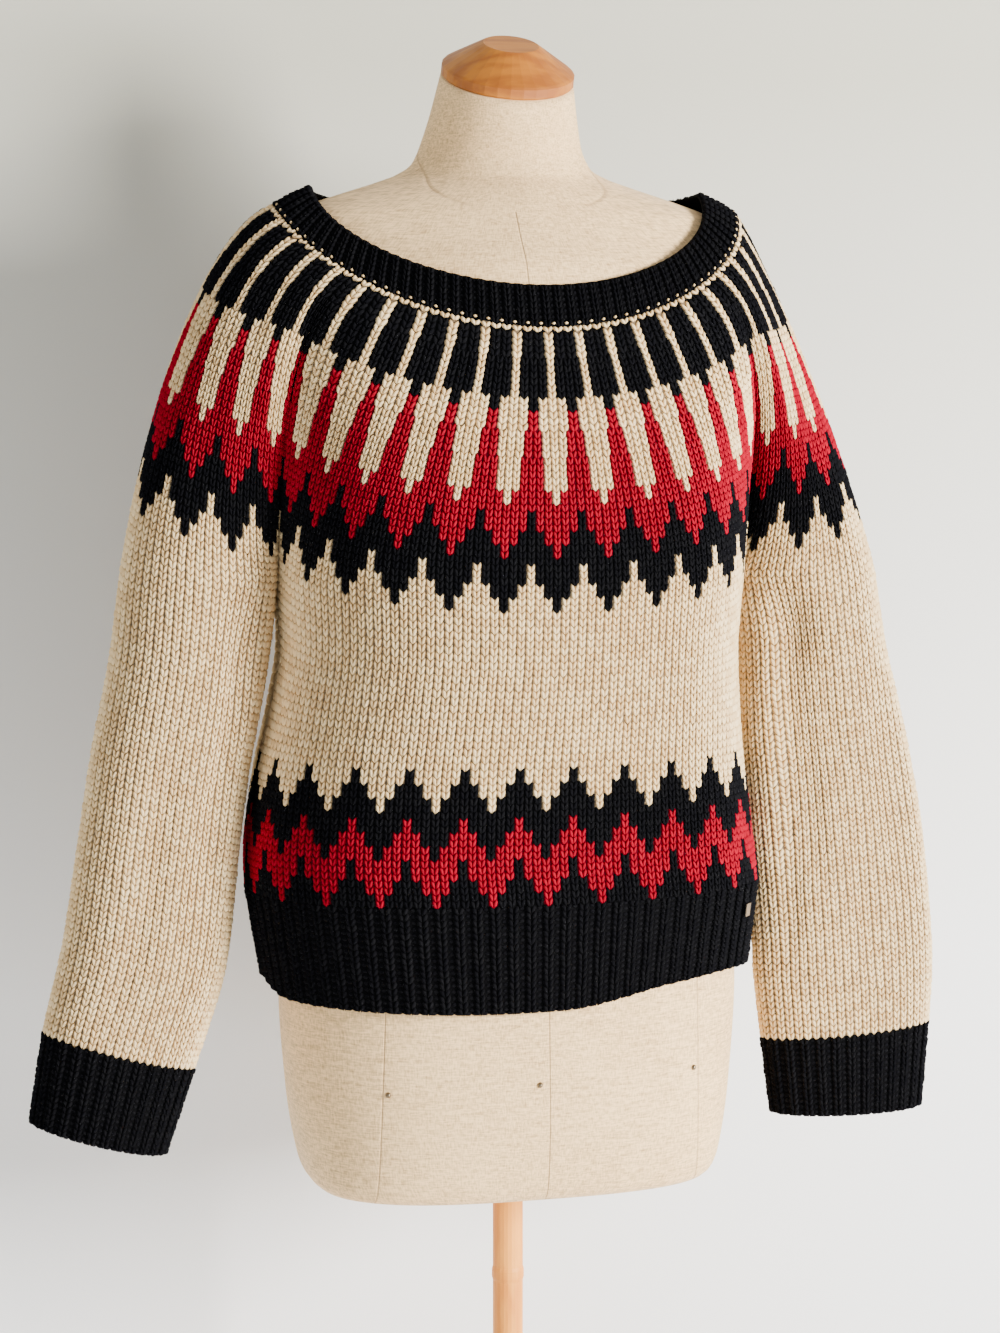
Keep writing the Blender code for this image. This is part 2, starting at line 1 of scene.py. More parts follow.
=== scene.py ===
import logging
import math
from collections.abc import Sequence
from dataclasses import dataclass, replace
from enum import Enum, IntEnum

import bpy
import numpy as np
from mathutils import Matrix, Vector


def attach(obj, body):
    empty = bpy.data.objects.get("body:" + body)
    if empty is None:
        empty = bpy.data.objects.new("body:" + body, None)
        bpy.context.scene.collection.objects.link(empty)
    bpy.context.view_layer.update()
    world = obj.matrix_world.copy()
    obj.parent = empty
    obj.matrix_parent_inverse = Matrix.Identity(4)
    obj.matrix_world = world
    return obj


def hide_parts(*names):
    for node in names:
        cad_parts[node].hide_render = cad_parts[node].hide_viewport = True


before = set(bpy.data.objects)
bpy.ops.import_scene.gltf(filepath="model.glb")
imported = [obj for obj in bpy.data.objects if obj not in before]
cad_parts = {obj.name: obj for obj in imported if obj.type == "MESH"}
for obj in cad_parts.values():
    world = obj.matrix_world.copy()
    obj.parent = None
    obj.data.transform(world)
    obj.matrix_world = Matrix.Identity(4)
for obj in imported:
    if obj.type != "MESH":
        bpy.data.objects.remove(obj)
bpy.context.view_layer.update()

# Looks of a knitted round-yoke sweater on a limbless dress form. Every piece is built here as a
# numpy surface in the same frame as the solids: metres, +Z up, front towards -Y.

LOG = logging.getLogger("sweater")
Array = np.ndarray
Triple = tuple[float, float, float]
Colour = Triple
Input = bpy.types.NodeSocket


class Side(Enum):
    """The wearer's two sides, with the sign of X on each."""

    RIGHT = -1
    LEFT = 1


class Facing(Enum):
    """The two body panels, with the sign of Y on each."""

    FRONT = -1
    BACK = 1


class Shade(IntEnum):
    """Yarn colours of the charts, in the order of the material slots."""

    CREAM = 0
    BLACK = 1
    RED = 2


# Numbers and surfaces


def unit(vectors: Array) -> Array:
    """Vectors of length one along the last axis."""
    return vectors / np.linalg.norm(vectors, axis=-1, keepdims=True)


def signed_power(value: Array, power: float) -> Array:
    """Power of the size of a value, with its sign kept."""
    return np.sign(value) * np.abs(value) ** power


def even_points(curve: Array, shares: Array) -> Array:
    """Points of a curve at the given shares of its length.

    Args:
        curve: Points along the curve, one a row.
        shares: Shares of the whole length, from 0 to 1.

    Returns:
        One point for each share.
    """
    length = np.concatenate([[0.0], np.cumsum(np.linalg.norm(np.diff(curve, axis=0), axis=1))])
    return np.stack([np.interp(shares, length / length[-1], axis) for axis in curve.T], axis=1)


@dataclass(frozen=True)
class Table:
    """Named columns of sizes, read between rows on curves that never overshoot a row."""

    columns: tuple[str, ...]
    rows: tuple[tuple[float, ...], ...]

    def at(self, first: float | Array) -> dict[str, Array]:
        """Reads the table where its first column has the given values.

        Cubic Hermite curves join the rows. The slope at a row is the harmonic mean of the
        slopes beside it, or nothing where they differ in sign.

        Args:
            first: Values of the first column.

        Returns:
            The other columns by name.
        """
        table = np.array(self.rows, dtype=float)
        x = table[:, 0]
        y = table[:, 1:]
        slope = np.diff(y, axis=0) / np.diff(x)[:, None]
        before = slope[:-1]
        after = slope[1:]
        same = before * after > 0
        total = np.where(same, before + after, 1.0)
        middle = np.where(same, 2 * before * after / total, 0)
        tangent = np.concatenate([slope[:1], middle, slope[-1:]])
        at = np.asarray(first, dtype=float)
        k = np.clip(np.searchsorted(x, at) - 1, 0, len(x) - 2)
        run = np.diff(x)[k][..., None]
        t = (at - x[k])[..., None] / run
        values = (
            (2 * t**3 - 3 * t**2 + 1) * y[k]
            + (t**3 - 2 * t**2 + t) * run * tangent[k]
            + (3 * t**2 - 2 * t**3) * y[k + 1]
            + (t**3 - t**2) * run * tangent[k + 1]
        )
        return {name: values[..., i] for i, name in enumerate(self.columns[1:])}


@dataclass(frozen=True)
class Body:
    """Body tube of the sweater, an upright tube with squared ellipses for rings."""

    hem_z: float = 0.783
    rib_top_z: float = 0.862
    underarm_z: float = 1.100
    squareness: float = 2.35
    seam: float = 0.0004
    curve_points: int = 361
    table: Table = Table(
        ("z", "centre_x", "half_width", "front", "back"),
        (
            (0.783, -0.002, 0.193, 0.124, 0.121),
            (0.820, -0.002, 0.199, 0.129, 0.125),
            (0.862, -0.004, 0.203, 0.133, 0.129),
            (0.900, -0.007, 0.200, 0.135, 0.130),
            (0.950, -0.007, 0.193, 0.137, 0.129),
            (1.000, -0.004, 0.185, 0.139, 0.126),
            (1.050, -0.001, 0.180, 0.140, 0.123),
            (1.100, 0.000, 0.183, 0.141, 0.120),
        ),
    )

    def arc(self, z: float, facing: Facing, places: Array) -> Array:
        """Front or back half of the ring at a height.

        Args:
            z: Height of the ring.
            facing: Which half.
            places: Places along the half, from -1 at -X to 1 at +X.

        Returns:
            One point for each place.
        """
        ring = self.table.at(z)
        depth = ring["front"] if facing is Facing.FRONT else ring["back"]
        angle = np.linspace(-math.pi / 2, math.pi / 2, self.curve_points)
        power = 2 / self.squareness
        x = ring["centre_x"] + ring["half_width"] * signed_power(np.sin(angle), power)
        y = facing.value * (depth * np.abs(np.cos(angle)) ** power + self.seam / 2)
        return even_points(np.stack([x, y, np.full(len(x), z)], axis=1), (places + 1) / 2)


@dataclass(frozen=True)
class SleeveTube:
    """Hanging sleeve: leaning ellipses with soft folds and creases pressed into them.

    A fold is a dent, given as height, place round the ring, depth, half length and half
    breadth. A crease is a trough, given as lower and upper height, place at each of them, depth
    and half breadth.
    """

    side: Side
    table: Table
    folds: tuple[tuple[float, float, float, float, float], ...]
    creases: tuple[tuple[float, float, float, float, float, float], ...]
    crease_power: float = 0.7
    seam: float = 0.0004
    curve_points: int = 721

    @property
    def cuff(self) -> tuple[float, float]:
        """Heights of the cuff's lower and upper edge."""
        return self.table.rows[0][0], self.table.rows[1][0]

    def ring(self, z: float, places: Array) -> Array:
        """Ring of the sleeve at a height.

        Args:
            z: Height of the ring's centre.
            places: Places round the ring, 0 and 1 at the inseam, by way of the front.

        Returns:
            One point for each place.
        """
        ring = self.table.at(z)
        angle = np.linspace(0, 2 * math.pi, self.curve_points)
        width = -ring["half_width"] * np.cos(angle)
        depth = -ring["half_depth"] * np.sin(angle)
        turn = math.radians(float(ring["turn"]))
        lean = math.radians(float(ring["lean"]))
        along = width * math.cos(turn) - depth * math.sin(turn)
        across = width * math.sin(turn) + depth * math.cos(turn)
        out = self.side.value * along * math.cos(lean)
        spokes = even_points(np.stack([out, across, along * math.sin(lean)], axis=1), places)
        for fold_z, place, deep, half_length, half_breadth in self.folds:
            near = ((z - fold_z) / half_length) ** 2 + ((places - place) / half_breadth) ** 2
            spokes = spokes - unit(spokes) * (deep * np.exp(-near))[:, None]
        for low_z, high_z, low_place, high_place, deep, half_breadth in self.creases:
            share = float(np.clip((z - low_z) / (high_z - low_z), 0, 1))
            aside = (places - low_place - (high_place - low_place) * share) / half_breadth
            length = math.sin(math.pi * share) ** self.crease_power
            sunk = deep * length * np.exp(-(aside**2))
            spokes = spokes - unit(spokes) * sunk[:, None]
        spokes[:, 1] += np.where(places <= 0, -self.seam / 2, 0)
        spokes[:, 1] += np.where(places >= 1, self.seam / 2, 0)
        return spokes + np.array([ring["centre_x"], ring["centre_y"], z])


SLEEVE_COLUMNS = ("z", "centre_x", "centre_y", "half_width", "half_depth", "turn", "lean")
SLEEVES = {
    Side.RIGHT: SleeveTube(
        Side.RIGHT,
        Table(
            SLEEVE_COLUMNS,
            (
                (0.677, -0.326, -0.010, 0.0545, 0.036, -8.0, 17.0),
                (0.744, -0.309, -0.010, 0.0610, 0.037, -8.0, 17.0),
                (0.820, -0.288, -0.010, 0.0640, 0.039, -8.0, 13.0),
                (0.900, -0.277, -0.010, 0.0620, 0.041, -8.0, 9.0),
                (0.960, -0.268, -0.009, 0.0610, 0.042, -7.0, 9.0),
                (1.040, -0.252, -0.006, 0.0600, 0.044, -3.0, 7.0),
                (1.100, -0.2435, 0.000, 0.0600, 0.045, 0.0, 0.0),
            ),
        ),
        (
            (1.050, 0.15, 0.006, 0.040, 0.07),
            (0.900, 0.28, 0.003, 0.090, 0.05),
            (1.000, 0.82, 0.005, 0.050, 0.07),
        ),
        (
            (0.800, 1.095, 0.20, 0.12, 0.0035, 0.035),
            (0.750, 0.960, 0.33, 0.29, 0.0025, 0.040),
            (0.770, 1.060, 0.74, 0.80, 0.0035, 0.040),
        ),
    ),
    Side.LEFT: SleeveTube(
        Side.LEFT,
        Table(
            SLEEVE_COLUMNS,
            (
                (0.658, 0.2900, 0.008, 0.0650, 0.029, 0.0, 0.0),
                (0.724, 0.2885, 0.008, 0.0725, 0.030, 0.0, 3.0),
                (0.785, 0.2860, 0.008, 0.0770, 0.028, 0.0, 4.0),
                (0.873, 0.2780, 0.008, 0.0760, 0.030, 0.0, 5.0),
                (0.962, 0.2660, 0.008, 0.0705, 0.035, 0.0, 5.0),
                (1.050, 0.2520, 0.004, 0.0610, 0.043, 0.0, 4.0),
                (1.100, 0.2435, 0.000, 0.0600, 0.045, 0.0, 0.0),
            ),
        ),
        (
            (1.060, 0.16, 0.008, 0.030, 0.09),
            (0.985, 0.24, 0.005, 0.055, 0.05),
            (0.930, 0.38, 0.003, 0.080, 0.05),
            (1.020, 0.80, 0.005, 0.050, 0.07),
        ),
        (
            (0.850, 1.098, 0.16, 0.155, 0.0080, 0.050),
            (0.760, 0.930, 0.30, 0.27, 0.0030, 0.035),
            (0.780, 1.090, 0.10, 0.13, 0.0035, 0.025),
            (0.760, 1.060, 0.72, 0.79, 0.0040, 0.040),
        ),
    ),
}


@dataclass(frozen=True)
class Neck:
    """Neck opening at the seam between the yoke and the neckband."""

    half_width: float = 0.184
    front_depth: float = 0.113
    back_depth: float = 0.096
    shoulder_z: float = 1.384
    front_drop: float = 0.093
    back_drop: float = 0.030
    drop_power: float = 1.3
    slope_side: float = math.radians(25)
    slope_middle: float = math.radians(70)
    slope_power: float = 1.2
    repeats: int = 42
    curve_points: int = 1441

    def curve(self) -> Array:
        """Seam from the front middle by the wearer's left: an oval that dips front and back.

        Returns:
            Points of the seam, one a row.
        """
        angle = np.linspace(0, 2 * math.pi, self.curve_points)
        cosine = np.cos(angle)
        depth = np.where(cosine > 0, self.front_depth, self.back_depth)
        drop = np.where(cosine > 0, self.front_drop, self.back_drop)
        z = self.shoulder_z - drop * np.abs(cosine) ** self.drop_power
        return np.stack([self.half_width * np.sin(angle), -depth * cosine, z], axis=1)

    def points(self, repeats: Array) -> Array:
        """Points of the seam at places counted in yoke repeats from the front middle."""
        return even_points(self.curve(), np.mod(repeats, self.repeats) / self.repeats)

    def slopes(self, points: Array) -> Array:
        """Directions square to the seam in which the cloth leaves it, outwards and down.

        Args:
            points: Points of the seam.

        Returns:
            Unit vectors, steeper the nearer a point is to the front or back middle.
        """
        depth = np.where(points[:, 1] < 0, self.front_depth, self.back_depth)
        level = np.stack([points[:, 0] / self.half_width**2, points[:, 1] / depth**2], axis=1)
        middle = (np.abs(points[:, 1]) / depth) ** self.slope_power
        slope = self.slope_side + (self.slope_middle - self.slope_side) * middle
        return np.concatenate(
            [np.cos(slope)[:, None] * unit(level), -np.sin(slope)[:, None]], axis=1
        )


HANDLE_COLUMNS = ("place", "low_x", "low_y", "low_z", "high_x", "high_y", "high_z")
RAGLAN_HANDLES = (1.0, 0.007, 0.053, 0.095, 0.052, 0.000, -0.030)


@dataclass(frozen=True)
class Yoke:
    """Round yoke: cubic curves from the ring at the underarm up to the neck seam."""

    neck: Neck = Neck()
    panel_repeats: int = 13
    sleeve_repeats: int = 8
    gap: float = 0.0003
    panel: Table = Table(
        HANDLE_COLUMNS,
        (
            (0.0, 0.000, 0.000, 0.070, 0.000, 0.013, -0.045),
            (0.4, 0.000, 0.001, 0.072, 0.008, 0.016, -0.046),
            (0.7, -0.004, 0.018, 0.080, 0.025, 0.018, -0.045),
            (0.9, 0.000, 0.043, 0.090, 0.043, 0.008, -0.036),
            RAGLAN_HANDLES,
        ),
    )
    sleeve_right: Table = Table(
        HANDLE_COLUMNS,
        (
            (0.0, -0.018, 0.000, 0.112, 0.060, 0.000, -0.022),
            (0.4, -0.005, 0.002, 0.108, 0.057, 0.001, -0.024),
            (0.6, 0.008, 0.015, 0.105, 0.050, 0.001, -0.027),
            (0.8, 0.015, 0.036, 0.100, 0.050, 0.002, -0.028),
            RAGLAN_HANDLES,
        ),
    )
    sleeve_left: Table = Table(
        HANDLE_COLUMNS,
        (
            (0.0, -0.028, 0.000, 0.090, 0.033, 0.000, -0.049),
            (0.4, -0.012, 0.002, 0.090, 0.037, 0.001, -0.043),
            (0.6, 0.004, 0.015, 0.095, 0.042, 0.001, -0.036),
            (0.8, 0.013, 0.036, 0.097, 0.048, 0.002, -0.031),
            RAGLAN_HANDLES,
        ),
    )

    def handles(self, repeats: Array) -> tuple[Array, Array]:
        """Low and high handles of the curves.

        Args:
            repeats: Places counted in repeats round the yoke from the front middle.

        Returns:
            Offsets from the lower end and from the neck, one a place.
        """
        half = self.neck.repeats / 2
        edge = self.panel_repeats / 2
        turn = np.mod(repeats, self.neck.repeats)
        outwards = np.where(turn < half, 1.0, -1.0)
        from_front = np.where(turn < half, turn, self.neck.repeats - turn)
        away = np.where(from_front < half / 2, -1.0, 1.0)
        from_middle = np.minimum(from_front, half - from_front)
        over_arm = np.abs(2 * (from_front - edge) / self.sleeve_repeats - 1)
        panel = self.panel.at(np.minimum(from_middle / edge, 1))
        left = self.sleeve_left.at(np.minimum(over_arm, 1))
        right = self.sleeve_right.at(np.minimum(over_arm, 1))
        sign = {"x": outwards, "y": away, "z": 1.0}
        ends = []
        for end in ("low", "high"):
            axes = []
            for axis in "xyz":
                key = f"{end}_{axis}"
                sleeve = np.where(outwards > 0, left[key], right[key])
                axes.append(sign[axis] * np.where(from_middle <= edge, panel[key], sleeve))
            ends.append(np.stack(axes, axis=1))
        return ends[0], ends[1]

    def meridians(self, start: Array, repeats: Array, spans: int) -> Array:
        """Cubic Bezier curves up the yoke, from the underarm ring to the neck seam.

        Args:
            start: Lower ends of the curves.
            repeats: Where each curve stands round the yoke.
            spans: Steps along each curve.

        Returns:
            Points as steps, curves, axes.
        """
        low, high = self.handles(repeats)
        end = self.neck.points(repeats) + unit(high) * (self.gap / 2)
        w = np.linspace(0, 1, spans + 1)[:, None, None]
        v = 1 - w
        return (
            v**3 * start + 3 * w * v**2 * (start + low) + 3 * w**2 * v * (end + high) + w**3 * end
        )


LINES_A_ROW = 2


@dataclass
class Cloth:
    """Knitted surface: points on a grid of half rows by columns, and where each column ends."""

    points: Array
    ends: Array
    closed: bool = False

    def __post_init__(self) -> None:
        """Works out the outward normals, square to both directions of the grid."""
        across = np.gradient(self.points, axis=1)
        if self.closed:
            across[:, 0] = across[:, -1] = self.points[:, 1] - self.points[:, -2]
        self.normals = unit(np.cross(across, np.gradient(self.points, axis=0)))

    @classmethod
    def charted(cls, columns: Array, marks: Array, rows: Array, past: float = 0.05) -> "Cloth":
        """Cloth whose rows of stitches keep to marks on every column, evenly between them.

        Args:
            columns: Points as lines, columns, axes, from the lower edge up.
            marks: Lengths up each column, as marks, columns. The last is the column's end.
            rows: Row of stitches at each mark.
            past: Length by which each column is run on straight past its end.

        Returns:
            The cloth.
        """
        way = unit(columns[-1] - columns[-2])
        columns = np.concatenate([columns, (columns[-1] + way * past)[None]])
        steps = np.linalg.norm(np.diff(columns, axis=0), axis=2)
        length = np.concatenate([np.zeros((1, columns.shape[1])), steps.cumsum(0)])
        row_height = (marks[-1] - marks[-2]) / (rows[-1] - rows[-2])
        marks = np.concatenate([marks, (marks[-1] + past)[None]])
        rows = np.concatenate([rows, (rows[-1] + past / row_height)[None]])
        count = math.ceil(rows[-2].max() * LINES_A_ROW) + 3
        lines = np.arange(count) / LINES_A_ROW
        grid = np.empty((len(lines), columns.shape[1], 3))
        for column in range(columns.shape[1]):
            up = np.interp(lines, rows[:, column], marks[:, column])
            for axis in range(3):
                grid[:, column, axis] = np.interp(up, length[:, column], columns[:, column, axis])
        return cls(grid, rows[-2])

    @classmethod
    def straight(cls, low: Array, high: Array, rows: int, closed: bool, bulge: float) -> "Cloth":
        """Cloth between two edges: straight lines that bow outwards as a half sine wave.

        Args:
            low: Points of the lower edge.
            high: Points of the upper edge.
            rows: Rows of stitches.
            closed: Whether the last column is the first again.
            bulge: How far the middle stands out.

        Returns:
            The cloth.
        """
        t = np.linspace(0, 1, LINES_A_ROW * rows + 1)[:, None, None]
        flat = cls(low + (high - low) * t, np.full(len(low), float(rows)), closed)
        bowed = flat.points + flat.normals * bulge * np.sin(math.pi * t)
        return cls(bowed, flat.ends, closed)

    def end_at(self, across: Array) -> Array:
        """Row at which the cloth ends, at shares of its width."""
        return np.interp(across, np.linspace(0, 1, len(self.ends)), self.ends)

    def at(self, across: Array, row: Array, raised: Array) -> Array:
        """Points of the cloth, read between the grid's lines, and past the lowest, in proportion.

        Args:
            across: Shares of the width.
            row: Rows up from the lower edge.
            raised: How far outwards of the surface.

        Returns:
            Points in the shape of the arguments, with the axes last.
        """
        lines, columns, _ = self.points.shape
        x = (np.mod(across, 1) if self.closed else np.clip(across, 0, 1)) * (columns - 1)
        y = np.minimum(row * LINES_A_ROW, lines - 1)
        i = np.minimum(x.astype(int), columns - 2)
        j = np.clip(y.astype(int), 0, lines - 2)
        s = (x - i)[..., None]
        t = (y - j)[..., None]
        found = []
        for grid in (self.points, self.normals):
            below = grid[j, i] * (1 - s) + grid[j, i + 1] * s
            above = grid[j + 1, i] * (1 - s) + grid[j + 1, i + 1] * s
            found.append(below * (1 - t) + above * t)
        return found[0] + unit(found[1]) * raised[..., None]


# Meshes


def new_object(
    name: str, points: Array, faces: Array, materials: Sequence[bpy.types.Material], slots: Array
) -> bpy.types.Object:
    """Object with a smooth mesh in the scene's collection.

    Args:
        name: Name of the piece.
        points: Vertices.
        faces: Vertex numbers, one face a row, all with as many corners.
        materials: Materials of the slots.
        slots: Slot of each face, or one for all.

    Returns:
        The object, at the origin.
    """
    mesh = bpy.data.meshes.new(name)
    count, corners = faces.shape
    mesh.vertices.add(len(points))
    mesh.vertices.foreach_set("co", np.ascontiguousarray(points, dtype=np.float32).ravel())
    mesh.loops.add(count * corners)
    mesh.loops.foreach_set("vertex_index", np.ascontiguousarray(faces, dtype=np.int32).ravel())
    mesh.polygons.add(count)
    mesh.polygons.foreach_set("loop_start", np.arange(0, count * corners, corners, dtype=np.int32))
    mesh.polygons.foreach_set(
        "material_index", np.broadcast_to(np.asarray(slots, dtype=np.int32), (count,)).copy()
    )
    for material in materials:
        mesh.materials.append(material)
    mesh.update(calc_edges=True)
    mesh.shade_smooth()
    mesh.validate()
    obj = bpy.data.objects.new(name, mesh)
    bpy.context.scene.collection.objects.link(obj)
    LOG.info("%s: %d faces", name, len(mesh.polygons))
    return obj


def grid_quads(lines: int, columns: int, closed: bool = False) -> Array:
    """Quads of a grid of points whose columns run to the right seen from outside.

    Args:
        lines: Lines of points, from the bottom up.
        columns: Points in a line.
        closed: Whether the last column joins the first.

    Returns:
        Vertex numbers, one quad a row.
    """
    number = np.arange(lines * columns).reshape(lines, columns)
    right = np.roll(number, -1, axis=1)
    last = columns if closed else columns - 1
    corners = [number[:-1, :last], right[:-1, :last], right[1:, :last], number[1:, :last]]
    return np.stack([c.ravel() for c in corners], axis=1)


def wall_mesh(outer: Array, inner: Array, closed: bool) -> tuple[Array, Array]:
    """Closed wall between two grids of the same shape, with a rim all round.

    Args:
        outer: Outer grid as lines, columns, axes.
        inner: Inner grid.
        closed: Whether the last column joins the first.

    Returns:
        Vertices and quads, the outer grid's quads first and the inner one's after them.
    """
    lines, columns, _ = outer.shape
    first = lines * columns
    front = grid_quads(lines, columns, closed)
    number = np.arange(first).reshape(lines, columns)
    last = columns if closed else columns - 1
    quads = [front, front[:, ::-1] + first]
    for line, step in ((number[0], 1), (number[-1], -1)):
        a = line[:last]
        b = np.roll(line, -1)[:last]
        rim = np.stack([a, a + first, b + first, b], axis=1)
        quads.append(rim[:, ::step])
    if not closed:
        for side, step in ((number[:, 0], -1), (number[:, -1], 1)):
            a = side[:-1]
            b = side[1:]
            rim = np.stack([a, a + first, b + first, b], axis=1)
            quads.append(rim[:, ::step])
    points = np.concatenate([outer.reshape(-1, 3), inner.reshape(-1, 3)])
    return points, np.concatenate(quads)


# Shaders and finishes


class Number:
    """A number in a shader, so that arithmetic on it adds Math nodes to the graph."""

    def __init__(self, graph: "Graph", socket: Input) -> None:
        """Keeps the graph and the socket that gives the number."""
        self.graph = graph
        self.socket = socket

    def _math(self, operation: str, *terms: "Number | float") -> "Number":
        """Adds a Math node.

        Args:
            operation: Name of the operation.
            terms: Its inputs in order.

        Returns:
            The node's result.
        """
        inputs = {i: getattr(term, "socket", term) for i, term in enumerate(terms)}
        return self.graph.number("ShaderNodeMath", {"operation": operation}, inputs)

    def __add__(self, other: "Number | float") -> "Number":
        """Sum."""
        return self._math("ADD", self, other)

    def __sub__(self, other: "Number | float") -> "Number":
        """Difference."""
        return self._math("SUBTRACT", self, other)

    def __rsub__(self, other: float) -> "Number":
        """Difference from a plain number."""
        return self._math("SUBTRACT", other, self)

    def __mul__(self, other: "Number | float") -> "Number":
        """Product."""
        return self._math("MULTIPLY", self, other)

    def __abs__(self) -> "Number":
        """Size without sign."""
        return self._math("ABSOLUTE", self)

    def sine(self) -> "Number":
        """Sine, in radians."""
        return self._math("SINE", self)

    def most(self, other: "Number | float") -> "Number":
        """Greater of the two."""
        return self._math("MAXIMUM", self, other)

    def above(self, bar: float) -> "Number":
        """One where the number is over the bar, and nothing elsewhere."""
        return self._math("GREATER_THAN", self, bar)


class Graph:
    """Node tree of one material round its Principled shader."""

    def __init__(self, name: str) -> None:
        """Makes the material and finds its shader.

        Args:
            name: Name of the material.
        """
        self.material = bpy.data.materials.new(name)
        self.material.use_nodes = True
        self.tree = self.material.node_tree
        self.shader = self.tree.nodes["Principled BSDF"]

    def node(self, kind: str, settings: dict, inputs: dict) -> bpy.types.Node:
        """Adds a node.

        Args:
            kind: Type of the node.
            settings: Values of its properties.
            inputs: Values, sockets or numbers for its inputs, by name or place.

        Returns:
            The node.
        """
        node = self.tree.nodes.new(kind)
        for key, value in settings.items():
            setattr(node, key, value)
        for key, value in inputs.items():
            self.feed(node.inputs[key], value)
        return node

    def feed(self, socket: Input, value: "Input | Number | float | tuple") -> None:
        """Links a socket or number to an input, or sets a plain value on it.

        Args:
            socket: The input.
            value: What it gets.
        """
        value = getattr(value, "socket", value)
        if isinstance(value, bpy.types.NodeSocket):
            self.tree.links.new(value, socket)
        else:
            socket.default_value = value

    def number(self, kind: str, settings: dict, inputs: dict, output: int | str = 0) -> Number:
        """Adds a node and wraps one of its outputs."""
        return Number(self, self.node(kind, settings, inputs).outputs[output])

    def place(self, scale: Triple = (1.0, 1.0, 1.0), output: str = "Object") -> Input:
        """Coordinates stretched along each axis.

        Args:
            scale: Factor of each axis.
            output: Which coordinates.

        Returns:
            The stretched vector.
        """
        source = self.node("ShaderNodeTexCoord", {}, {}).outputs[output]
        stretch = {"Vector": source, "Scale": scale}
        return self.node("ShaderNodeMapping", {}, stretch).outputs[0]

    def axes(self, vector: Input) -> tuple[Number, Number, Number]:
        """The three numbers of a vector."""
        split = self.node("ShaderNodeSeparateXYZ", {}, {0: vector})
        return tuple(Number(self, output) for output in split.outputs)

    def noise(
        self,
        scale: float,
        detail: float = 3.0,
        stretch: Triple = (1.0, 1.0, 1.0),
        output: str = "Object",
    ) -> Number:
        """Soft noise from 0 to 1.

        Args:
            scale: Waves a metre.
            detail: Finer layers on top of the first.
            stretch: Factor of each axis.
            output: Which coordinates.

        Returns:
            The noise.
        """
        inputs = {"Vector": self.place(stretch, output), "Scale": scale, "Detail": detail}
        return self.number("ShaderNodeTexNoise", {}, inputs)

    def mix(self, factor: Number | float, first: Colour | Input, second: Colour | Input) -> Input:
        """Colour between two others.

        Args:
            factor: Share of the second, clamped to 0 to 1.
            first: First colour.
            second: Second colour.

        Returns:
            The mixed colour.
        """
        pair = [(*c, 1.0) if isinstance(c, tuple) else c for c in (first, second)]
        inputs = {0: factor, 6: pair[0], 7: pair[1]}
        return self.node("ShaderNodeMix", {"data_type": "RGBA"}, inputs).outputs[2]

    def ramp(self, value: Number, low: float, high: float) -> Number:
        """Rises from 0 at low to 1 at high."""
        inputs = {"Value": value, "From Min": low, "From Max": high}
        return self.number("ShaderNodeMapRange", {"clamp": True}, inputs)

    def bump(self, height: Number, distance: float, strength: float = 1.0) -> None:
        """Feeds the shader's normal with a relief of the given depth in metres."""
        inputs = {"Height": height, "Distance": distance, "Strength": strength}
        self.feed(self.shader.inputs["Normal"], self.node("ShaderNodeBump", {}, inputs).outputs[0])

    def surface(self, **values: "Input | Number | float | tuple") -> None:
        """Sets the shader's inputs, with underscores for the spaces in their names."""
        for key, value in values.items():
            self.feed(self.shader.inputs[key.replace("_", " ")], value)


@dataclass(frozen=True)
class Wool:
    """Woollen yarn of one even shade: a matt, hairy strand."""

    name: str
    colour: Colour
    sheen: float
    sheen_roughness: float = 0.5
    tint_gain: float = 1.3
    tint_lift: float = 0.03
    roughness: float = 0.86
    roughness_spread: float = 0.12
    shine: float = 0.06
    hair_scale: float = 1500.0
    hair_stretch: Triple = (1.0, 1.0, 0.35)
    hair_range: tuple[float, float] = (0.2, 0.8)
    hair_share: float = 0.6
    twist_scale: float = 420.0
    relief: float = 0.0007
    relief_strength: float = 0.8

    def build(self) -> bpy.types.Material:
        """Material with a fine twist and stray hairs in its relief.

        Returns:
            The material.
        """
        graph = Graph(self.name)
        hairs = graph.noise(self.hair_scale, 4.0, self.hair_stretch)
        twist = graph.noise(self.twist_scale, 2.0)
        strands = hairs * self.hair_share + twist * (1 - self.hair_share)
        graph.bump(strands, self.relief, self.relief_strength)
        rough = graph.ramp(hairs, *self.hair_range) * self.roughness_spread + self.roughness
        tint = (min(1.0, c * self.tint_gain + self.tint_lift) for c in self.colour)
        graph.surface(
            Base_Color=(*self.colour, 1.0),
            Roughness=rough,
            Sheen_Weight=self.sheen,
            Sheen_Roughness=self.sheen_roughness,
            Sheen_Tint=(*tint, 1.0),
            Specular_IOR_Level=self.shine,
        )
        return graph.material


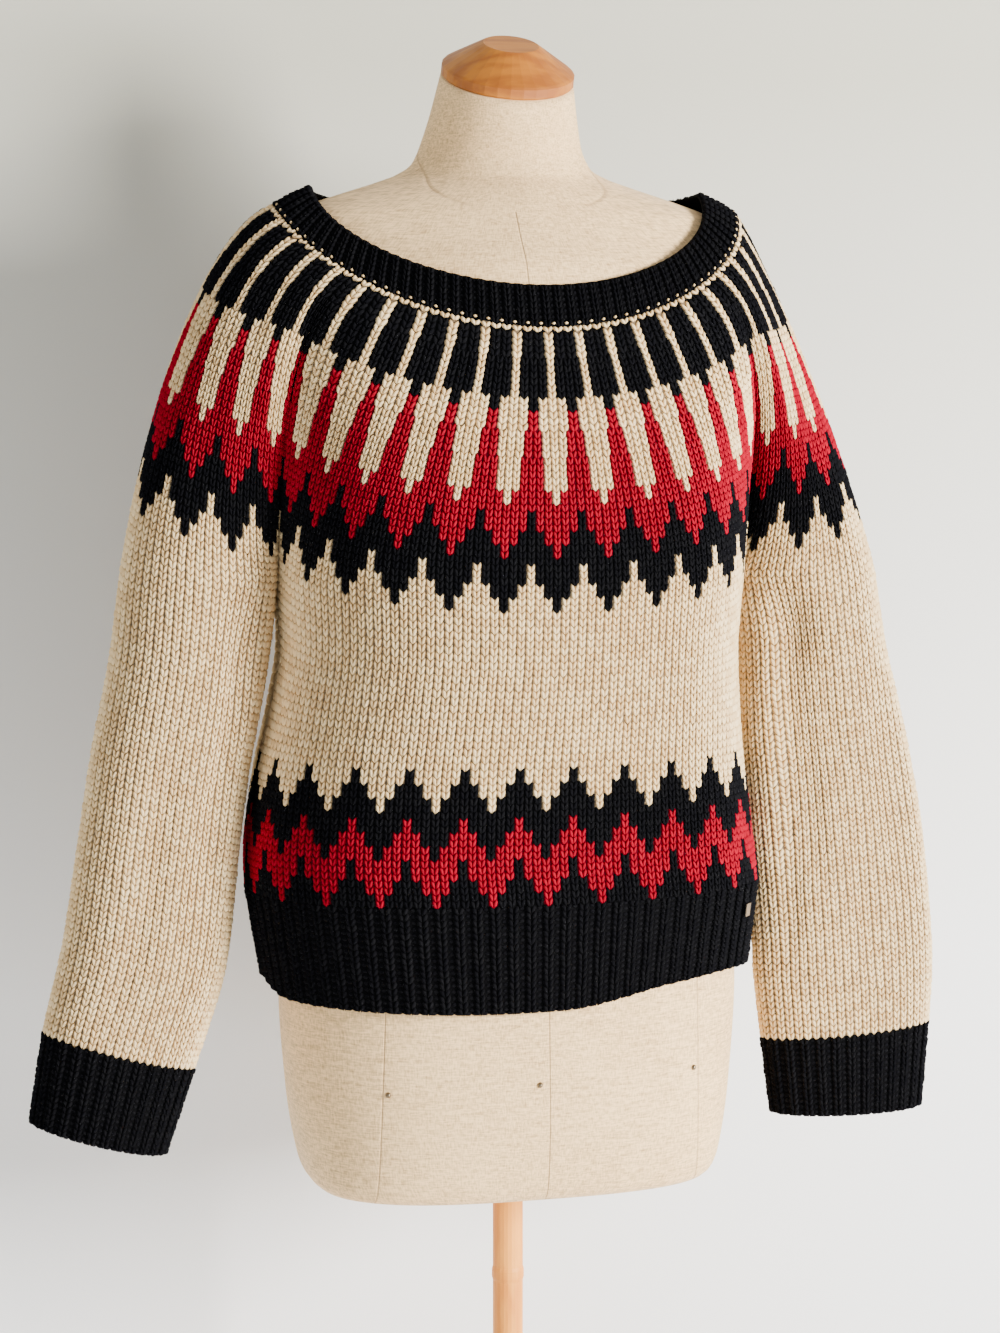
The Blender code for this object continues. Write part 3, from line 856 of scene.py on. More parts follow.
@dataclass(frozen=True)
class Linen:
    """Unbleached linen cover, with threads both ways and sewn seams."""

    name: str = "linen_cover"
    light: Colour = (0.97, 0.665, 0.335)
    dark: Colour = (0.44, 0.265, 0.115)
    tones: tuple[float, float] = (0.36, 0.57)
    weft: Triple = (170.0, 900.0, 1.0)
    warp: Triple = (900.0, 200.0, 1.0)
    slubs: Triple = (45.0, 420.0, 1.0)
    cloud_scale: float = 14.0
    relief: float = 0.0006
    relief_strength: float = 0.7
    roughness: float = 0.9
    sheen: float = 0.15
    shine: float = 0.3
    seam_depth: float = 1.6
    seam_darkness: float = 0.55
    seam_half_width: float = 0.0009
    neck_slope: float = 0.5425
    neck_height: float = 1.4119
    neck_gap: tuple[float, float] = (0.035, 0.065)
    middle_lean: float = 0.02
    middle_shift: float = 0.004
    panel_middle: float = 0.003
    panel_half_width: float = 0.1455
    panel_taper: float = 0.028
    panel_top: float = 1.25
    side_y: float = 0.004

    def build(self) -> bpy.types.Material:
        """Material that reads its threads from the piece's own map, in metres.

        Returns:
            The material.
        """
        graph = Graph(self.name)
        weft = graph.noise(1.0, 2.0, self.weft, "UV")
        warp = graph.noise(1.0, 2.0, self.warp, "UV")
        slub = graph.noise(1.0, 3.0, self.slubs, "UV")
        cloud = graph.noise(self.cloud_scale)
        threads = weft * 0.5 + warp * 0.5
        seam = self.seams(graph)
        tone = graph.ramp(threads * 0.68 + slub * 0.22 + cloud * 0.1, *self.tones)
        colour = graph.mix(tone, self.dark, self.light)
        graph.bump(threads - seam * self.seam_depth, self.relief, self.relief_strength)
        graph.surface(
            Base_Color=graph.mix(seam * self.seam_darkness, colour, self.dark),
            Roughness=self.roughness,
            Sheen_Weight=self.sheen,
            Specular_IOR_Level=self.shine,
        )
        return graph.material

    def seams(self, graph: Graph) -> Number:
        """Thin lines down the middle, up the panels, round the neck and along the sides.

        The line of the neck lies where the height less a slope times the depth is even, and is
        left out at the middle. That of the middle leans, and those of the panels draw in upwards.

        Args:
            graph: Graph to add to.

        Returns:
            The strongest of the lines at a point: one on it and 0 off it.
        """
        x, y, z = graph.axes(graph.place())
        neck_line = z - y * self.neck_slope - self.neck_height
        below_neck = 1.0 - neck_line.above(0.0)
        neck = self.line(graph, neck_line, 0.0) * graph.ramp(abs(x), *self.neck_gap)
        middle_x = (1.0 - z) * self.middle_lean - self.middle_shift
        middle = self.line(graph, x, middle_x) * below_neck
        panel_x = self.panel_half_width - z * self.panel_taper
        below_chest = 1.0 - z.above(self.panel_top)
        panels = self.line(graph, abs(x - self.panel_middle), panel_x) * below_chest
        sides = self.line(graph, y, self.side_y) * below_neck
        return middle.most(panels).most(neck).most(sides)

    def line(self, graph: Graph, value: Number, where: Number | float) -> Number:
        """One where the value is at a place, falling to nothing a seam's half width off it."""
        return 1.0 - graph.ramp(abs(value - where), 0.0, self.seam_half_width)


@dataclass(frozen=True)
class Wood:
    """Turned wood with grain along one axis, under a varnish."""

    name: str
    light: Colour
    dark: Colour
    coat: float
    stretch: Triple
    roughness: float = 0.5
    roughness_spread: float = 0.15
    coat_roughness: float = 0.3
    grain_scale: float = 6.0
    pore_scale: float = 60.0
    rings: float = 34.0
    tones: tuple[float, float] = (0.2, 0.8)
    relief: float = 0.0002
    relief_strength: float = 0.3

    def build(self) -> bpy.types.Material:
        """Material with long grain, fine pores and a clear coat.

        Returns:
            The material.
        """
        graph = Graph(self.name)
        long = graph.noise(self.grain_scale, 6.0, self.stretch)
        rings = (long * self.rings).sine() * 0.5 + 0.5
        pores = graph.noise(self.pore_scale, 3.0, self.stretch)
        tone = graph.ramp(rings * 0.45 + long * 0.35 + pores * 0.2, *self.tones)
        graph.bump(pores, self.relief, self.relief_strength)
        graph.surface(
            Base_Color=graph.mix(tone, self.dark, self.light),
            Roughness=pores * self.roughness_spread + self.roughness,
            Coat_Weight=self.coat,
            Coat_Roughness=self.coat_roughness,
        )
        return graph.material


@dataclass(frozen=True)
class Metal:
    """Small brushed metal part."""

    name: str
    colour: Colour
    roughness: float = 0.25
    roughness_spread: float = 0.2
    dark_share: float = 0.8
    scratches: Triple = (200.0, 200.0, 4000.0)
    relief: float = 0.0001
    relief_strength: float = 0.3

    def build(self) -> bpy.types.Material:
        """Material with fine scratches along one way.

        Returns:
            The material.
        """
        graph = Graph(self.name)
        brush = graph.noise(1.0, 2.0, self.scratches)
        dark = tuple(c * self.dark_share for c in self.colour)
        graph.bump(brush, self.relief, self.relief_strength)
        graph.surface(
            Base_Color=graph.mix(brush, dark, self.colour),
            Metallic=1.0,
            Roughness=brush * self.roughness_spread + self.roughness,
        )
        return graph.material


@dataclass(frozen=True)
class Plaster:
    """Pale matt floor and wall behind the object, with painted shade that makes it a little darker
    and warmer higher up.
    """

    name: str = "pale_floor_painted_shade"
    low: Colour = (0.93, 0.94, 0.94)
    # Painted shade: the wall higher up, darker and warmer in place of the dimmer, warmer light
    # there.
    high: Colour = (0.54, 0.53, 0.445)
    heights: tuple[float, float] = (0.75, 1.55)
    cloud_scale: float = 3.0
    cloud_height: float = 0.05
    roughness: float = 0.95
    shine: float = 0.1

    def build(self) -> bpy.types.Material:
        """Material whose painted shade darkens and warms it upwards with a faint unevenness, clear
        when looked at from its back.

        Returns:
            The material.
        """
        graph = Graph(self.name)
        backside = graph.number("ShaderNodeNewGeometry", {}, {}, "Backfacing")
        height = graph.axes(graph.place())[2]
        cloud = graph.noise(self.cloud_scale, 4.0)
        # Painted shade: the colour darkens and warms with height.
        rise = graph.ramp(height + cloud * self.cloud_height, *self.heights)
        graph.surface(
            Base_Color=graph.mix(rise, self.low, self.high),
            Roughness=self.roughness,
            Specular_IOR_Level=self.shine,
            Alpha=1.0 - backside,
        )
        return graph.material


@dataclass(frozen=True)
class YarnRange:
    """Slightly different skeins of each yarn, and darker tones of painted shade for the cloth
    between stitches.
    """

    skeins: tuple[tuple[Shade, Colour], ...] = (
        (Shade.CREAM, (0.850, 0.618, 0.330)),
        (Shade.CREAM, (0.760, 0.538, 0.280)),
        (Shade.CREAM, (0.905, 0.680, 0.380)),
        (Shade.BLACK, (0.0048, 0.0048, 0.0060)),
        (Shade.BLACK, (0.0032, 0.0032, 0.0045)),
        (Shade.RED, (0.335, 0.0001, 0.0170)),
        (Shade.RED, (0.285, 0.0001, 0.0140)),
    )
    # Painted shade: each yarn's colour made several times darker, so the cloth between the
    # stitches reads as deep shade.
    ground: tuple[Colour, ...] = (
        (0.170, 0.120, 0.072),
        (0.0015, 0.0015, 0.0020),
        (0.070, 0.0002, 0.0050),
    )
    chances: int = 1000

    def stitch_materials(self) -> list[bpy.types.Material]:
        """Materials of the stitches, one a skein.

        Returns:
            The materials, in the order of the skeins.
        """
        return [
            Wool(f"{shade.name.lower()}_yarn_{i}", colour, SHEEN[shade]).build()
            for i, (shade, colour) in enumerate(self.skeins)
        ]

    def painted_shade_materials(self) -> list[bpy.types.Material]:
        """Materials of the cloth under the stitches, one a shade, in darkened colours that paint
        shade between the stitches.

        Returns:
            The materials, in the order of the shades.
        """
        return [
            Wool(f"{shade.name.lower()}_ground", self.ground[shade], 0.0).build()
            for shade in Shade
        ]

    def pick(self, shades: Array, rng: np.random.Generator) -> Array:
        """Picks a skein at random for each stitch.

        Args:
            shades: Shade of each stitch.
            rng: Seeded source of chance.

        Returns:
            Material slot of each stitch.
        """
        owner = np.array([shade for shade, _ in self.skeins])
        first = np.array([np.argmax(owner == shade) for shade in Shade])
        count = np.array([np.sum(owner == shade) for shade in Shade])
        return first[shades] + rng.integers(0, self.chances, len(shades)) % count[shades]


# Knitting

LETTERS = {"C": Shade.CREAM, "K": Shade.BLACK, "R": Shade.RED}
SHEEN = {Shade.CREAM: 0.20, Shade.BLACK: 0.05, Shade.RED: 0.0}
WIDE_REPEAT = 6
NECK_REPEAT = 3

# Charts, from the bottom row up: how many rows, and the stitches of one repeat. C is cream,
# K black and R red. A repeat narrows from six stitches to three on its way to the neck.
BAND_CHART = (
    (2, "KKKRKK"),
    (2, "KKRRRK"),
    (3, "KRRRRR"),
    (2, "RRRKRR"),
    (2, "RRKKKR"),
    (2, "RKKKKK"),
    (1, "KKKKKK"),
    (2, "KKKCKK"),
    (2, "KKCCCK"),
    (2, "KCCCCC"),
)
YOKE_CHART = (
    (2, "CCCKCC"),
    (2, "CCKKKC"),
    (3, "CKKKKK"),
    (1, "KKKKKK"),
    (2, "KKKRKK"),
    (2, "KKRRRK"),
    (3, "KRRRRR"),
    (1, "RRRRRR"),
    (2, "RRRCRR"),
    (5, "RRCCCR"),
    (4, "RCCCR"),
    (3, "RCCC"),
    (2, "KCCC"),
    (6, "KKCK"),
    (40, "KCK"),
)


@dataclass(frozen=True)
class Chart:
    """Colour chart of a panel: a band, plain cream and the yoke, by rows from its lower edge."""

    yoke_start: int
    band: tuple[tuple[int, str], ...] = ()

    def rows(self, count: int) -> list[str]:
        """Stitches of one repeat in each of the first rows.

        Args:
            count: How many rows.

        Returns:
            One word of stitch letters a row.
        """
        words = [word for height, word in self.band for _ in range(height)]
        words += ["C" * WIDE_REPEAT] * (self.yoke_start - len(words))
        words += [word for height, word in YOKE_CHART for _ in range(height)]
        return words[:count]


@dataclass(frozen=True)
class Grain:
    """Plump bit of yarn: eight points in its cell, and how high it stands.

    The points are shares across and up the cell and of the height: the lower end, a lower and
    an upper ring of left, crest and right, and the upper end. A paired grain has a mirrored
    twin in the same cell.
    """

    points: Array
    ground: float
    relief: float
    paired: bool = False


LEG = Grain(
    np.array(
        [
            (0.47, -0.34, 0.25),
            (0.12, 0.06, 0.05), (0.38, 0.02, 1.00), (0.58, -0.02, 0.05),
            (-0.02, 0.62, 0.05), (0.22, 0.68, 0.95), (0.50, 0.58, 0.05),
            (0.12, 1.10, 0.25),
        ]
    ),
    -0.0012,
    0.0022,
    paired=True,
)
RIB_LEG = Grain(LEG.points * (0.86, 1.0, 1.0) + (0.03, 0.0, 0.0), -0.0010, 0.0027, paired=True)
PURL = Grain(
    np.array(
        [
            (-0.10, 0.50, 0.10),
            (0.28, 0.88, 0.00), (0.28, 0.50, 0.90), (0.28, 0.12, 0.00),
            (0.72, 0.88, 0.00), (0.72, 0.50, 0.90), (0.72, 0.12, 0.00),
            (1.10, 0.50, 0.10),
        ]
    ),
    -0.0018,
    0.0013,
)
CAST_ON = Grain(PURL.points, -0.0016, 0.0026)
DOT = Grain(
    np.array(
        [
            (0.50, -0.10, 0.10),
            (0.00, 0.30, 0.10), (0.50, 0.30, 0.95), (1.00, 0.30, 0.10),
            (0.00, 0.75, 0.10), (0.50, 0.75, 0.95), (1.00, 0.75, 0.10),
            (0.50, 1.10, 0.10),
        ]
    ),
    -0.0004,
    0.0016,
)
GRAIN_FACES = np.array(
    [
        (0, 2, 1), (0, 3, 2), (0, 1, 3),
        (1, 2, 5), (1, 5, 4), (2, 3, 6), (2, 6, 5), (3, 1, 4), (3, 4, 6),
        (4, 5, 7), (5, 6, 7), (6, 4, 7),
    ]
)


@dataclass
class Cells:
    """Places of stitches on a cloth: left edge and width, lowest row and height, and shade."""

    left: Array
    width: Array
    row: Array
    height: Array
    shade: Array

    @classmethod
    def joined(cls, parts: Sequence["Cells"]) -> "Cells":
        """All the stitches of several sets."""
        names = ("left", "width", "row", "height", "shade")
        return cls(*(np.concatenate([getattr(part, name) for part in parts]) for name in names))


@dataclass
class Knitter:
    """Turns cells on a cloth into plump stitches and the thin cloth behind them."""

    yarns: YarnRange
    ground: float = -0.0012
    inside: float = -0.0027
    overhang: float = 0.35
    tuck: float = 0.02
    stray: float = 0.022
    unevenness: float = 0.08
    aside: float = 0.35
    seed: int = 11

    def __post_init__(self) -> None:
        """Builds the yarn materials and the source of chance."""
        self.stitch_materials = self.yarns.stitch_materials()
        self.painted_shade_materials = self.yarns.painted_shade_materials()
        self.rng = np.random.default_rng(self.seed)

    def grains(self, cloth: Cloth, cells: Cells, grain: Grain, mirrored: bool) -> Array:
        """Points of one grain in each cell.

        Args:
            cloth: Surface that carries the stitches.
            cells: Where they are.
            grain: What lies in each cell.
            mirrored: Whether left and right change places.

        Returns:
            Points as cells, grain points, axes.
        """
        across, up, high = grain.points.T
        across = 1 - across if mirrored else across
        shift = self.rng.normal(0, self.stray, (len(cells.left), 1))
        plump = 1 + self.rng.normal(0, self.unevenness, (len(cells.left), 1))
        u = cells.left[:, None] + (across + shift) * cells.width[:, None]
        v = cells.row[:, None] + up * cells.height[:, None]
        v = np.clip(v, -self.overhang, cloth.end_at(u) - self.tuck)
        return cloth.at(u, v, grain.ground + high * grain.relief * plump)

    def knit(
        self, name: str, cloth: Cloth, layers: Sequence[tuple[Cells, Grain]]
    ) -> bpy.types.Object:
        """One piece with a grain, or a pair of them, in every cell.

        Args:
            name: Name of the piece.
            cloth: Surface that carries the stitches.
            layers: Cells, and the grain that lies in them.

        Returns:
            The object.
        """
        points = []
        triangles = []
        worn = []
        first = 0
        for cells, grain in layers:
            slots = self.yarns.pick(cells.shade, self.rng)
            for mirrored in (False, True) if grain.paired else (False,):
                laid = self.grains(cloth, cells, grain, mirrored)
                faces = GRAIN_FACES[:, ::-1] if mirrored else GRAIN_FACES
                count, size, _ = laid.shape
                start = first + size * np.arange(count)
                points.append(laid.reshape(-1, 3))
                triangles.append((start[:, None, None] + faces).reshape(-1, 3))
                worn.append(np.repeat(slots, len(faces)))
                first += count * size
        return new_object(
            name,
            np.concatenate(points),
            np.concatenate(triangles),
            self.stitch_materials,
            np.concatenate(worn),
        )

    def backing(
        self, name: str, cloth: Cloth, words: list[str], repeats: int
    ) -> bpy.types.Object:
        """Thin cloth behind the stitches, in the darkest colour that touches each face, darkened
        further as painted shade.

        Args:
            name: Name of the piece.
            cloth: Surface of the panel.
            words: Stitches of one repeat, row by row.
            repeats: Repeats across the panel.

        Returns:
            The object.
        """
        edges = stitch_edges(WIDE_REPEAT, repeats)
        lines = int(cloth.ends.max()) + 1
        u = np.broadcast_to(edges, (lines, len(edges)))
        v = np.linspace(0, 1, lines)[:, None] * cloth.end_at(u)
        outer = cloth.at(u, v, np.full(u.shape, self.ground))
        inner = cloth.at(u, v, np.full(u.shape, self.inside))
        points, quads = wall_mesh(outer, inner, False)
        middle_u = (u[:-1, :-1] + u[1:, 1:]) / 2
        middle_v = (v[:-1, :-1] + v[1:, 1:]) / 2
        aside = np.diff(edges) * self.aside
        tones = [
            shade_at(words, repeats, middle_u + sign * aside, middle_v) for sign in (-1, 0, 1)
        ]
        # Painted shade: a face across a colour edge takes the darker yarn, so gaps between
        # stitches read as shade.
        face = darkest(tones)
        rim = [face[0], face[-1], face[:, 0], face[:, -1]]
        slots = np.concatenate([face.ravel(), face.ravel(), *rim])
        return new_object(name, points, quads, self.painted_shade_materials, slots)


def stitch_edges(size: int, repeats: int) -> Array:
    """Edges of the stitches in a row of a panel.

    One stitch stands in the middle of every repeat, so a row of even repeats starts and ends
    with half a stitch.

    Args:
        size: Stitches of one repeat.
        repeats: Repeats across the panel.

    Returns:
        Shares of the panel's width, from 0 to 1.
    """
    count = size * repeats
    even = 1 - size % 2
    return np.clip((np.arange(count + 1 + even) - even / 2) / count, 0, 1)


def darkest(tones: list[Array]) -> Array:
    """Black where any tone is black, else red where any is red, else cream.

    Args:
        tones: Shade numbers, in arrays of one shape.

    Returns:
        Shade numbers in that shape.
    """
    stack = np.stack(tones)
    red = np.where((stack == Shade.RED).any(0), Shade.RED, Shade.CREAM)
    return np.where((stack == Shade.BLACK).any(0), Shade.BLACK, red)


JUST_INSIDE = 0.99999


def shade_at(words: list[str], repeats: int, across: Array, row: Array) -> Array:
    """Shade of the chart at places on a panel.

    Args:
        words: Stitches of one repeat, row by row.
        repeats: Repeats across the panel.
        across: Shares of the panel's width.
        row: Rows up the panel.

    Returns:
        Shade numbers in the shape of the arguments.
    """
    width = np.array([len(word) for word in words])
    chart = np.zeros((len(words), WIDE_REPEAT), int)
    for i, word in enumerate(words):
        chart[i, : len(word)] = [LETTERS[letter] for letter in word]
    line = np.clip(row.astype(int), 0, len(words) - 1)
    even = 1 - width[line] % 2
    place = np.clip(across, 0, JUST_INSIDE) * repeats * width[line] + even / 2
    return chart[line, np.floor(place).astype(int) % width[line]]


@dataclass
class Panel:
    """One knitted panel of the sweater: front, back or a sleeve, from its rib to the neck."""

    node: str
    cloth: Cloth
    chart: Chart
    repeats: int
    flat: tuple[float, float]
    area: float
    neck_row: float = 0.75
    least_room: float = 0.4

    def cells(self) -> Cells:
        """Cells of all the stitches, with a cream row that follows the neck seam.

        Returns:
            The cells, those of the lowest row first.
        """
        words = self.chart.rows(math.ceil(self.cloth.ends.max()))
        parts = []
        for row, word in enumerate(words):
            edges = stitch_edges(len(word), self.repeats)
            middle = (edges[1:] + edges[:-1]) / 2
            letters = [LETTERS[word[i % len(word)]] for i in range(len(middle))]
            room = self.cloth.end_at(middle) - self.neck_row - row
            kept = room > self.least_room
            size = int(kept.sum())
            parts.append(
                Cells(
                    edges[:-1][kept],
                    np.diff(edges)[kept],
                    np.full(size, float(row)),
                    np.minimum(room, 1.0)[kept],
                    np.array(letters)[kept],
                )
            )
        edges = stitch_edges(NECK_REPEAT, self.repeats)
        start = self.cloth.end_at((edges[1:] + edges[:-1]) / 2) - self.neck_row
        last = np.full(len(start), self.neck_row)
        cream = np.full(len(start), Shade.CREAM)
        parts.append(Cells(edges[:-1], np.diff(edges), start, last, cream))
        return Cells.joined(parts)

    def build(self, knitter: Knitter) -> None:
        """Args:
            knitter: What turns cells into pieces.
        """
        words = self.chart.rows(math.ceil(self.cloth.ends.max()))
        backing = knitter.backing(f"{self.node}_cloth", self.cloth, words, self.repeats)
        layers = [(self.cells(), LEG)]
        stitches = knitter.knit(f"{self.node}_stitches", self.cloth, layers)
        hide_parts(self.node)
        for piece in (backing, stitches):
            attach(piece, "root")


@dataclass
class Rib:
    """One-by-one rib: columns of knit stitches that stand out, with purl grooves between."""

    node: str
    cloth: Cloth
    ribs: int
    rows: int
    flat: tuple[float, float]
    rest: str
    dots: bool = False
    knit_share: float = 0.66
    rise: float = 0.0012
    groove: float = -0.0018
    crest_power: float = 0.7
    steps_a_rib: int = 6
    dot_width: float = 0.30
    dot_row: float = 0.15
    dot_height: float = 0.42
    loops_a_rib: int = 2
    loop_height: float = 0.84

    def relief(self, across: Array) -> Array:
        """Height of the cloth: a rounded crest at the middle of each rib, flat in the groove."""
        crest = 0.5 + 0.5 * np.cos(2 * math.pi * across * self.ribs)
        return self.groove + self.rise * crest**self.crest_power

    def build(self, knitter: Knitter) -> None:
        """Args:
            knitter: What turns cells into pieces.
        """
        columns = self.ribs * self.steps_a_rib
        points = columns if self.cloth.closed else columns + 1
        line = np.arange(points) / columns
        u = np.broadcast_to(line, (self.rows + 1, points))
        v = np.broadcast_to(np.linspace(0, self.rows, self.rows + 1)[:, None], u.shape)
        outer = self.cloth.at(u, v, self.relief(u))
        inner = self.cloth.at(u, v, np.full(u.shape, knitter.inside))
        mesh_points, quads = wall_mesh(outer, inner, self.cloth.closed)
        # Painted shade: the rib's backing takes the darkened black, so its grooves read as shade.
        material = [knitter.painted_shade_materials[Shade.BLACK]]
        backing = new_object(f"{self.node}_cloth", mesh_points, quads, material, np.array(0))
        stitches = knitter.knit(f"{self.node}_stitches", self.cloth, self.layers())
        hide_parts(self.node)
        for piece in (backing, stitches):
            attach(piece, "root")

    def column_cells(self, middles: Array, width: float) -> Cells:
        """Black cells in upright columns, cut off at the edges of an open piece.

        Args:
            middles: Middle of each column, as a share of the width.
            width: Width of a column.

        Returns:
            The cells, column by column.
        """
        edges = np.stack([middles - width / 2, middles + width / 2])
        if not self.cloth.closed:
            edges = np.clip(edges, 0, 1)
        left = np.repeat(edges[0], self.rows)
        row = np.tile(np.arange(self.rows, dtype=float), len(middles))
        black = np.full(len(left), Shade.BLACK)
        return Cells(left, np.repeat(edges[1], self.rows) - left, row, np.ones(len(left)), black)

    def layers(self) -> list[tuple[Cells, Grain]]:
        """Knit columns, purl bumps, and the loops that edge the rib.

        A picked-up edge has a cream dot in every groove, and any other a row of cast-on loops.

        Returns:
            Cells and the grain that lies in them.
        """
        crests = np.arange(self.ribs + (not self.cloth.closed)) / self.ribs
        grooves = (np.arange(self.ribs) + 0.5) / self.ribs
        found = [
            (self.column_cells(crests, self.knit_share / self.ribs), RIB_LEG),
            (self.column_cells(grooves, (1 - self.knit_share) / self.ribs), PURL),
        ]
        if self.dots:
            width = np.full(self.ribs, self.dot_width / self.ribs)
            low = np.full(self.ribs, self.dot_row)
            tall = np.full(self.ribs, self.dot_height)
            cream = np.full(self.ribs, Shade.CREAM)
            found.append((Cells(grooves - width / 2, width, low, tall, cream), DOT))
        else:
            count = self.loops_a_rib * self.ribs
            left = np.arange(count) / count
            tall = np.full(count, self.loop_height)
            black = np.full(count, Shade.BLACK)
            loops = Cells(left, np.full(count, 1 / count), -tall / 2, tall, black)
            found.append((loops, CAST_ON))
        return found


@dataclass
class Sweater:
    """The whole garment: four panels, a neckband, two hem ribs and two cuffs."""

    body: Body = Body()
    yoke: Yoke = Yoke()
    yoke_rows: float = 43.0
    cap_rows: float = 4.5
    body_start: int = 42
    body_even_rows: int = 18
    body_row: float = 0.00515
    sleeve_start: int = 75
    sleeve_even_rows: int = 48
    sleeve_row: float = 0.0052
    depth_middle: float = 0.212
    depth_raglan: float = 0.234
    depth_cap: float = 0.254
    depth_power: float = 1.5
    points_a_repeat: int = 12
    body_lines: int = 31
    sleeve_lines: int = 41
    yoke_spans: int = 40
    rib_points: int = 161
    neck_points: int = 8
    body_flat: tuple[float, float] = (0.549, 0.527)
    body_area: float = 0.236
    sleeve_flat: tuple[float, float] = (0.345, 0.677)
    sleeve_area: float = 0.185
    hem_flat: tuple[float, float] = (0.535, 0.079)
    hem_sag: float = 0.004
    hem_lift: Table = Table(
        ("place", "FRONT", "BACK"),
        (
            (-1.00, 0.010, 0.010),
            (-0.80, 0.001, 0.004),
            (-0.30, 0.000, 0.000),
            (0.05, 0.001, 0.001),
            (0.40, 0.013, 0.003),
            (0.60, 0.015, 0.001),
            (0.80, 0.012, 0.005),
            (1.00, 0.009, 0.009),
        ),
    )
    neckband_girth: float = 0.973
    neckband_height: float = 0.033
    neckband_bulge: float = 0.0008
    neckband_ribs: int = 98
    hem_ribs: int = 40
    cuff_ribs: int = 26
    rib_row: float = 0.0046

    def body_panel(self, facing: Facing) -> Panel:
        """Front or back panel.

        Args:
            facing: Which of the two.

        Returns:
            The panel, not built yet.
        """
        repeats = self.yoke.panel_repeats
        places = np.linspace(-1, 1, repeats * self.points_a_repeat + 1) * -facing.value
        turn = places * (repeats / 2)
        if facing is Facing.BACK:
            turn = self.yoke.neck.repeats / 2 - turn
        heights = np.linspace(self.body.rib_top_z, self.body.underarm_z, self.body_lines)
        lower = np.array([self.body.arc(z, facing, places) for z in heights])
        upper = self.yoke.meridians(lower[-1], turn, self.yoke_spans)[1:]
        columns = np.concatenate([lower, upper])
        aside = np.abs(places) ** self.depth_power
        depth = self.depth_middle + (self.depth_raglan - self.depth_middle) * aside
        yoke_rows = np.full_like(depth, self.yoke_rows)
        even = (self.body_even_rows, self.body_row)
        cloth = self.rows_from_neck(columns, depth, yoke_rows, even, self.body_start)
        chart = Chart(self.body_start, BAND_CHART)
        node = facing.name.lower()
        return Panel(node, cloth, chart, repeats, self.body_flat, self.body_area)

    def sleeve_panel(self, side: Side) -> Panel:
        """Sleeve panel.

        Args:
            side: Which of the two.

        Returns:
            The panel, not built yet.
        """
        tube = SLEEVES[side]
        repeats = self.yoke.sleeve_repeats
        places = np.linspace(0, 1, repeats * self.points_a_repeat + 1)[:: side.value]
        turn = side.value * (self.yoke.panel_repeats / 2 + repeats * places)
        heights = np.linspace(tube.cuff[1], self.body.underarm_z, self.sleeve_lines)
        lower = np.array([tube.ring(z, places) for z in heights])
        upper = self.yoke.meridians(lower[-1], turn, self.yoke_spans)[1:]
        columns = np.concatenate([lower, upper])
        cap = np.sin(math.pi * places) ** 2
        depth = self.depth_raglan + (self.depth_cap - self.depth_raglan) * cap
        yoke_rows = self.yoke_rows + self.cap_rows * cap
        even = (self.sleeve_even_rows, self.sleeve_row)
        cloth = self.rows_from_neck(columns, depth, yoke_rows, even, self.sleeve_start)
        node = f"sleeve_{side.name.lower()}"
        chart = Chart(self.sleeve_start)
        return Panel(node, cloth, chart, repeats, self.sleeve_flat, self.sleeve_area)

    def rows_from_neck(
        self, columns: Array, depth: Array, yoke_rows: Array, even: tuple[int, float], start: int
    ) -> Cloth:
        """Cloth of a panel: even rows below, and a yoke whose rows run round the neck.

        Args:
            columns: Points as lines, columns, axes.
            depth: How far below the neck the yoke's chart starts, a column.
            yoke_rows: Rows of the yoke's chart, a column.
            even: Count and height of the rows at the lower edge that stay level.
            start: Row at which the yoke's chart starts.

        Returns:
            The cloth, whose rows spread between the level ones and the yoke.
        """
        whole = np.linalg.norm(np.diff(columns, axis=0), axis=2).sum(0)
        level, height = even
        nothing = np.zeros(len(whole))
        marks = np.stack([nothing, nothing + level * height, whole - depth, whole])
        rows = np.stack([nothing, nothing + level, nothing + start, start + yoke_rows])
        return Cloth.charted(columns, marks, rows)

    def hem(self, facing: Facing) -> Rib:
        """Hem rib under the front or the back.

        Args:
            facing: Which of the two.

        Returns:
            The rib, not built yet.
        """
        places = np.linspace(-1, 1, self.rib_points) * -facing.value
        low = self.body.arc(self.body.hem_z, facing, places)
        low[:, 2] += self.hem_lift.at(places)[facing.name]
        low[:, 2] -= self.hem_sag * np.cos(math.pi / 2 * places) ** 2
        high = self.body.arc(self.body.rib_top_z, facing, places)
        rows = round((self.body.rib_top_z - self.body.hem_z) / self.rib_row)
        cloth = Cloth.straight(low, high, rows, False, 0.0)
        name = f"hem_rib_{facing.name.lower()}"
        return Rib(name, cloth, self.hem_ribs, rows, self.hem_flat, "form_cover")

    def cuff(self, side: Side) -> Rib:
        """Cuff at the end of a sleeve.

        Args:
            side: Which of the two.

        Returns:
            The rib, not built yet.
        """
        tube = SLEEVES[side]
        places = np.linspace(0, 1, self.rib_points)[:: side.value]
        low, high = (tube.ring(z, places) for z in tube.cuff)
        low[-1] = low[0] = (low[0] + low[-1]) / 2
        high[-1] = high[0] = (high[0] + high[-1]) / 2
        rows = round((tube.cuff[1] - tube.cuff[0]) / self.rib_row)
        cloth = Cloth.straight(low, high, rows, True, 0.0)
        around = float(np.linalg.norm(np.diff(high, axis=0), axis=1).sum())
        name = side.name.lower()
        flat = (around, tube.cuff[1] - tube.cuff[0])
        return Rib(f"cuff_{name}", cloth, self.cuff_ribs, rows, flat, f"sleeve_{name}_cloth")

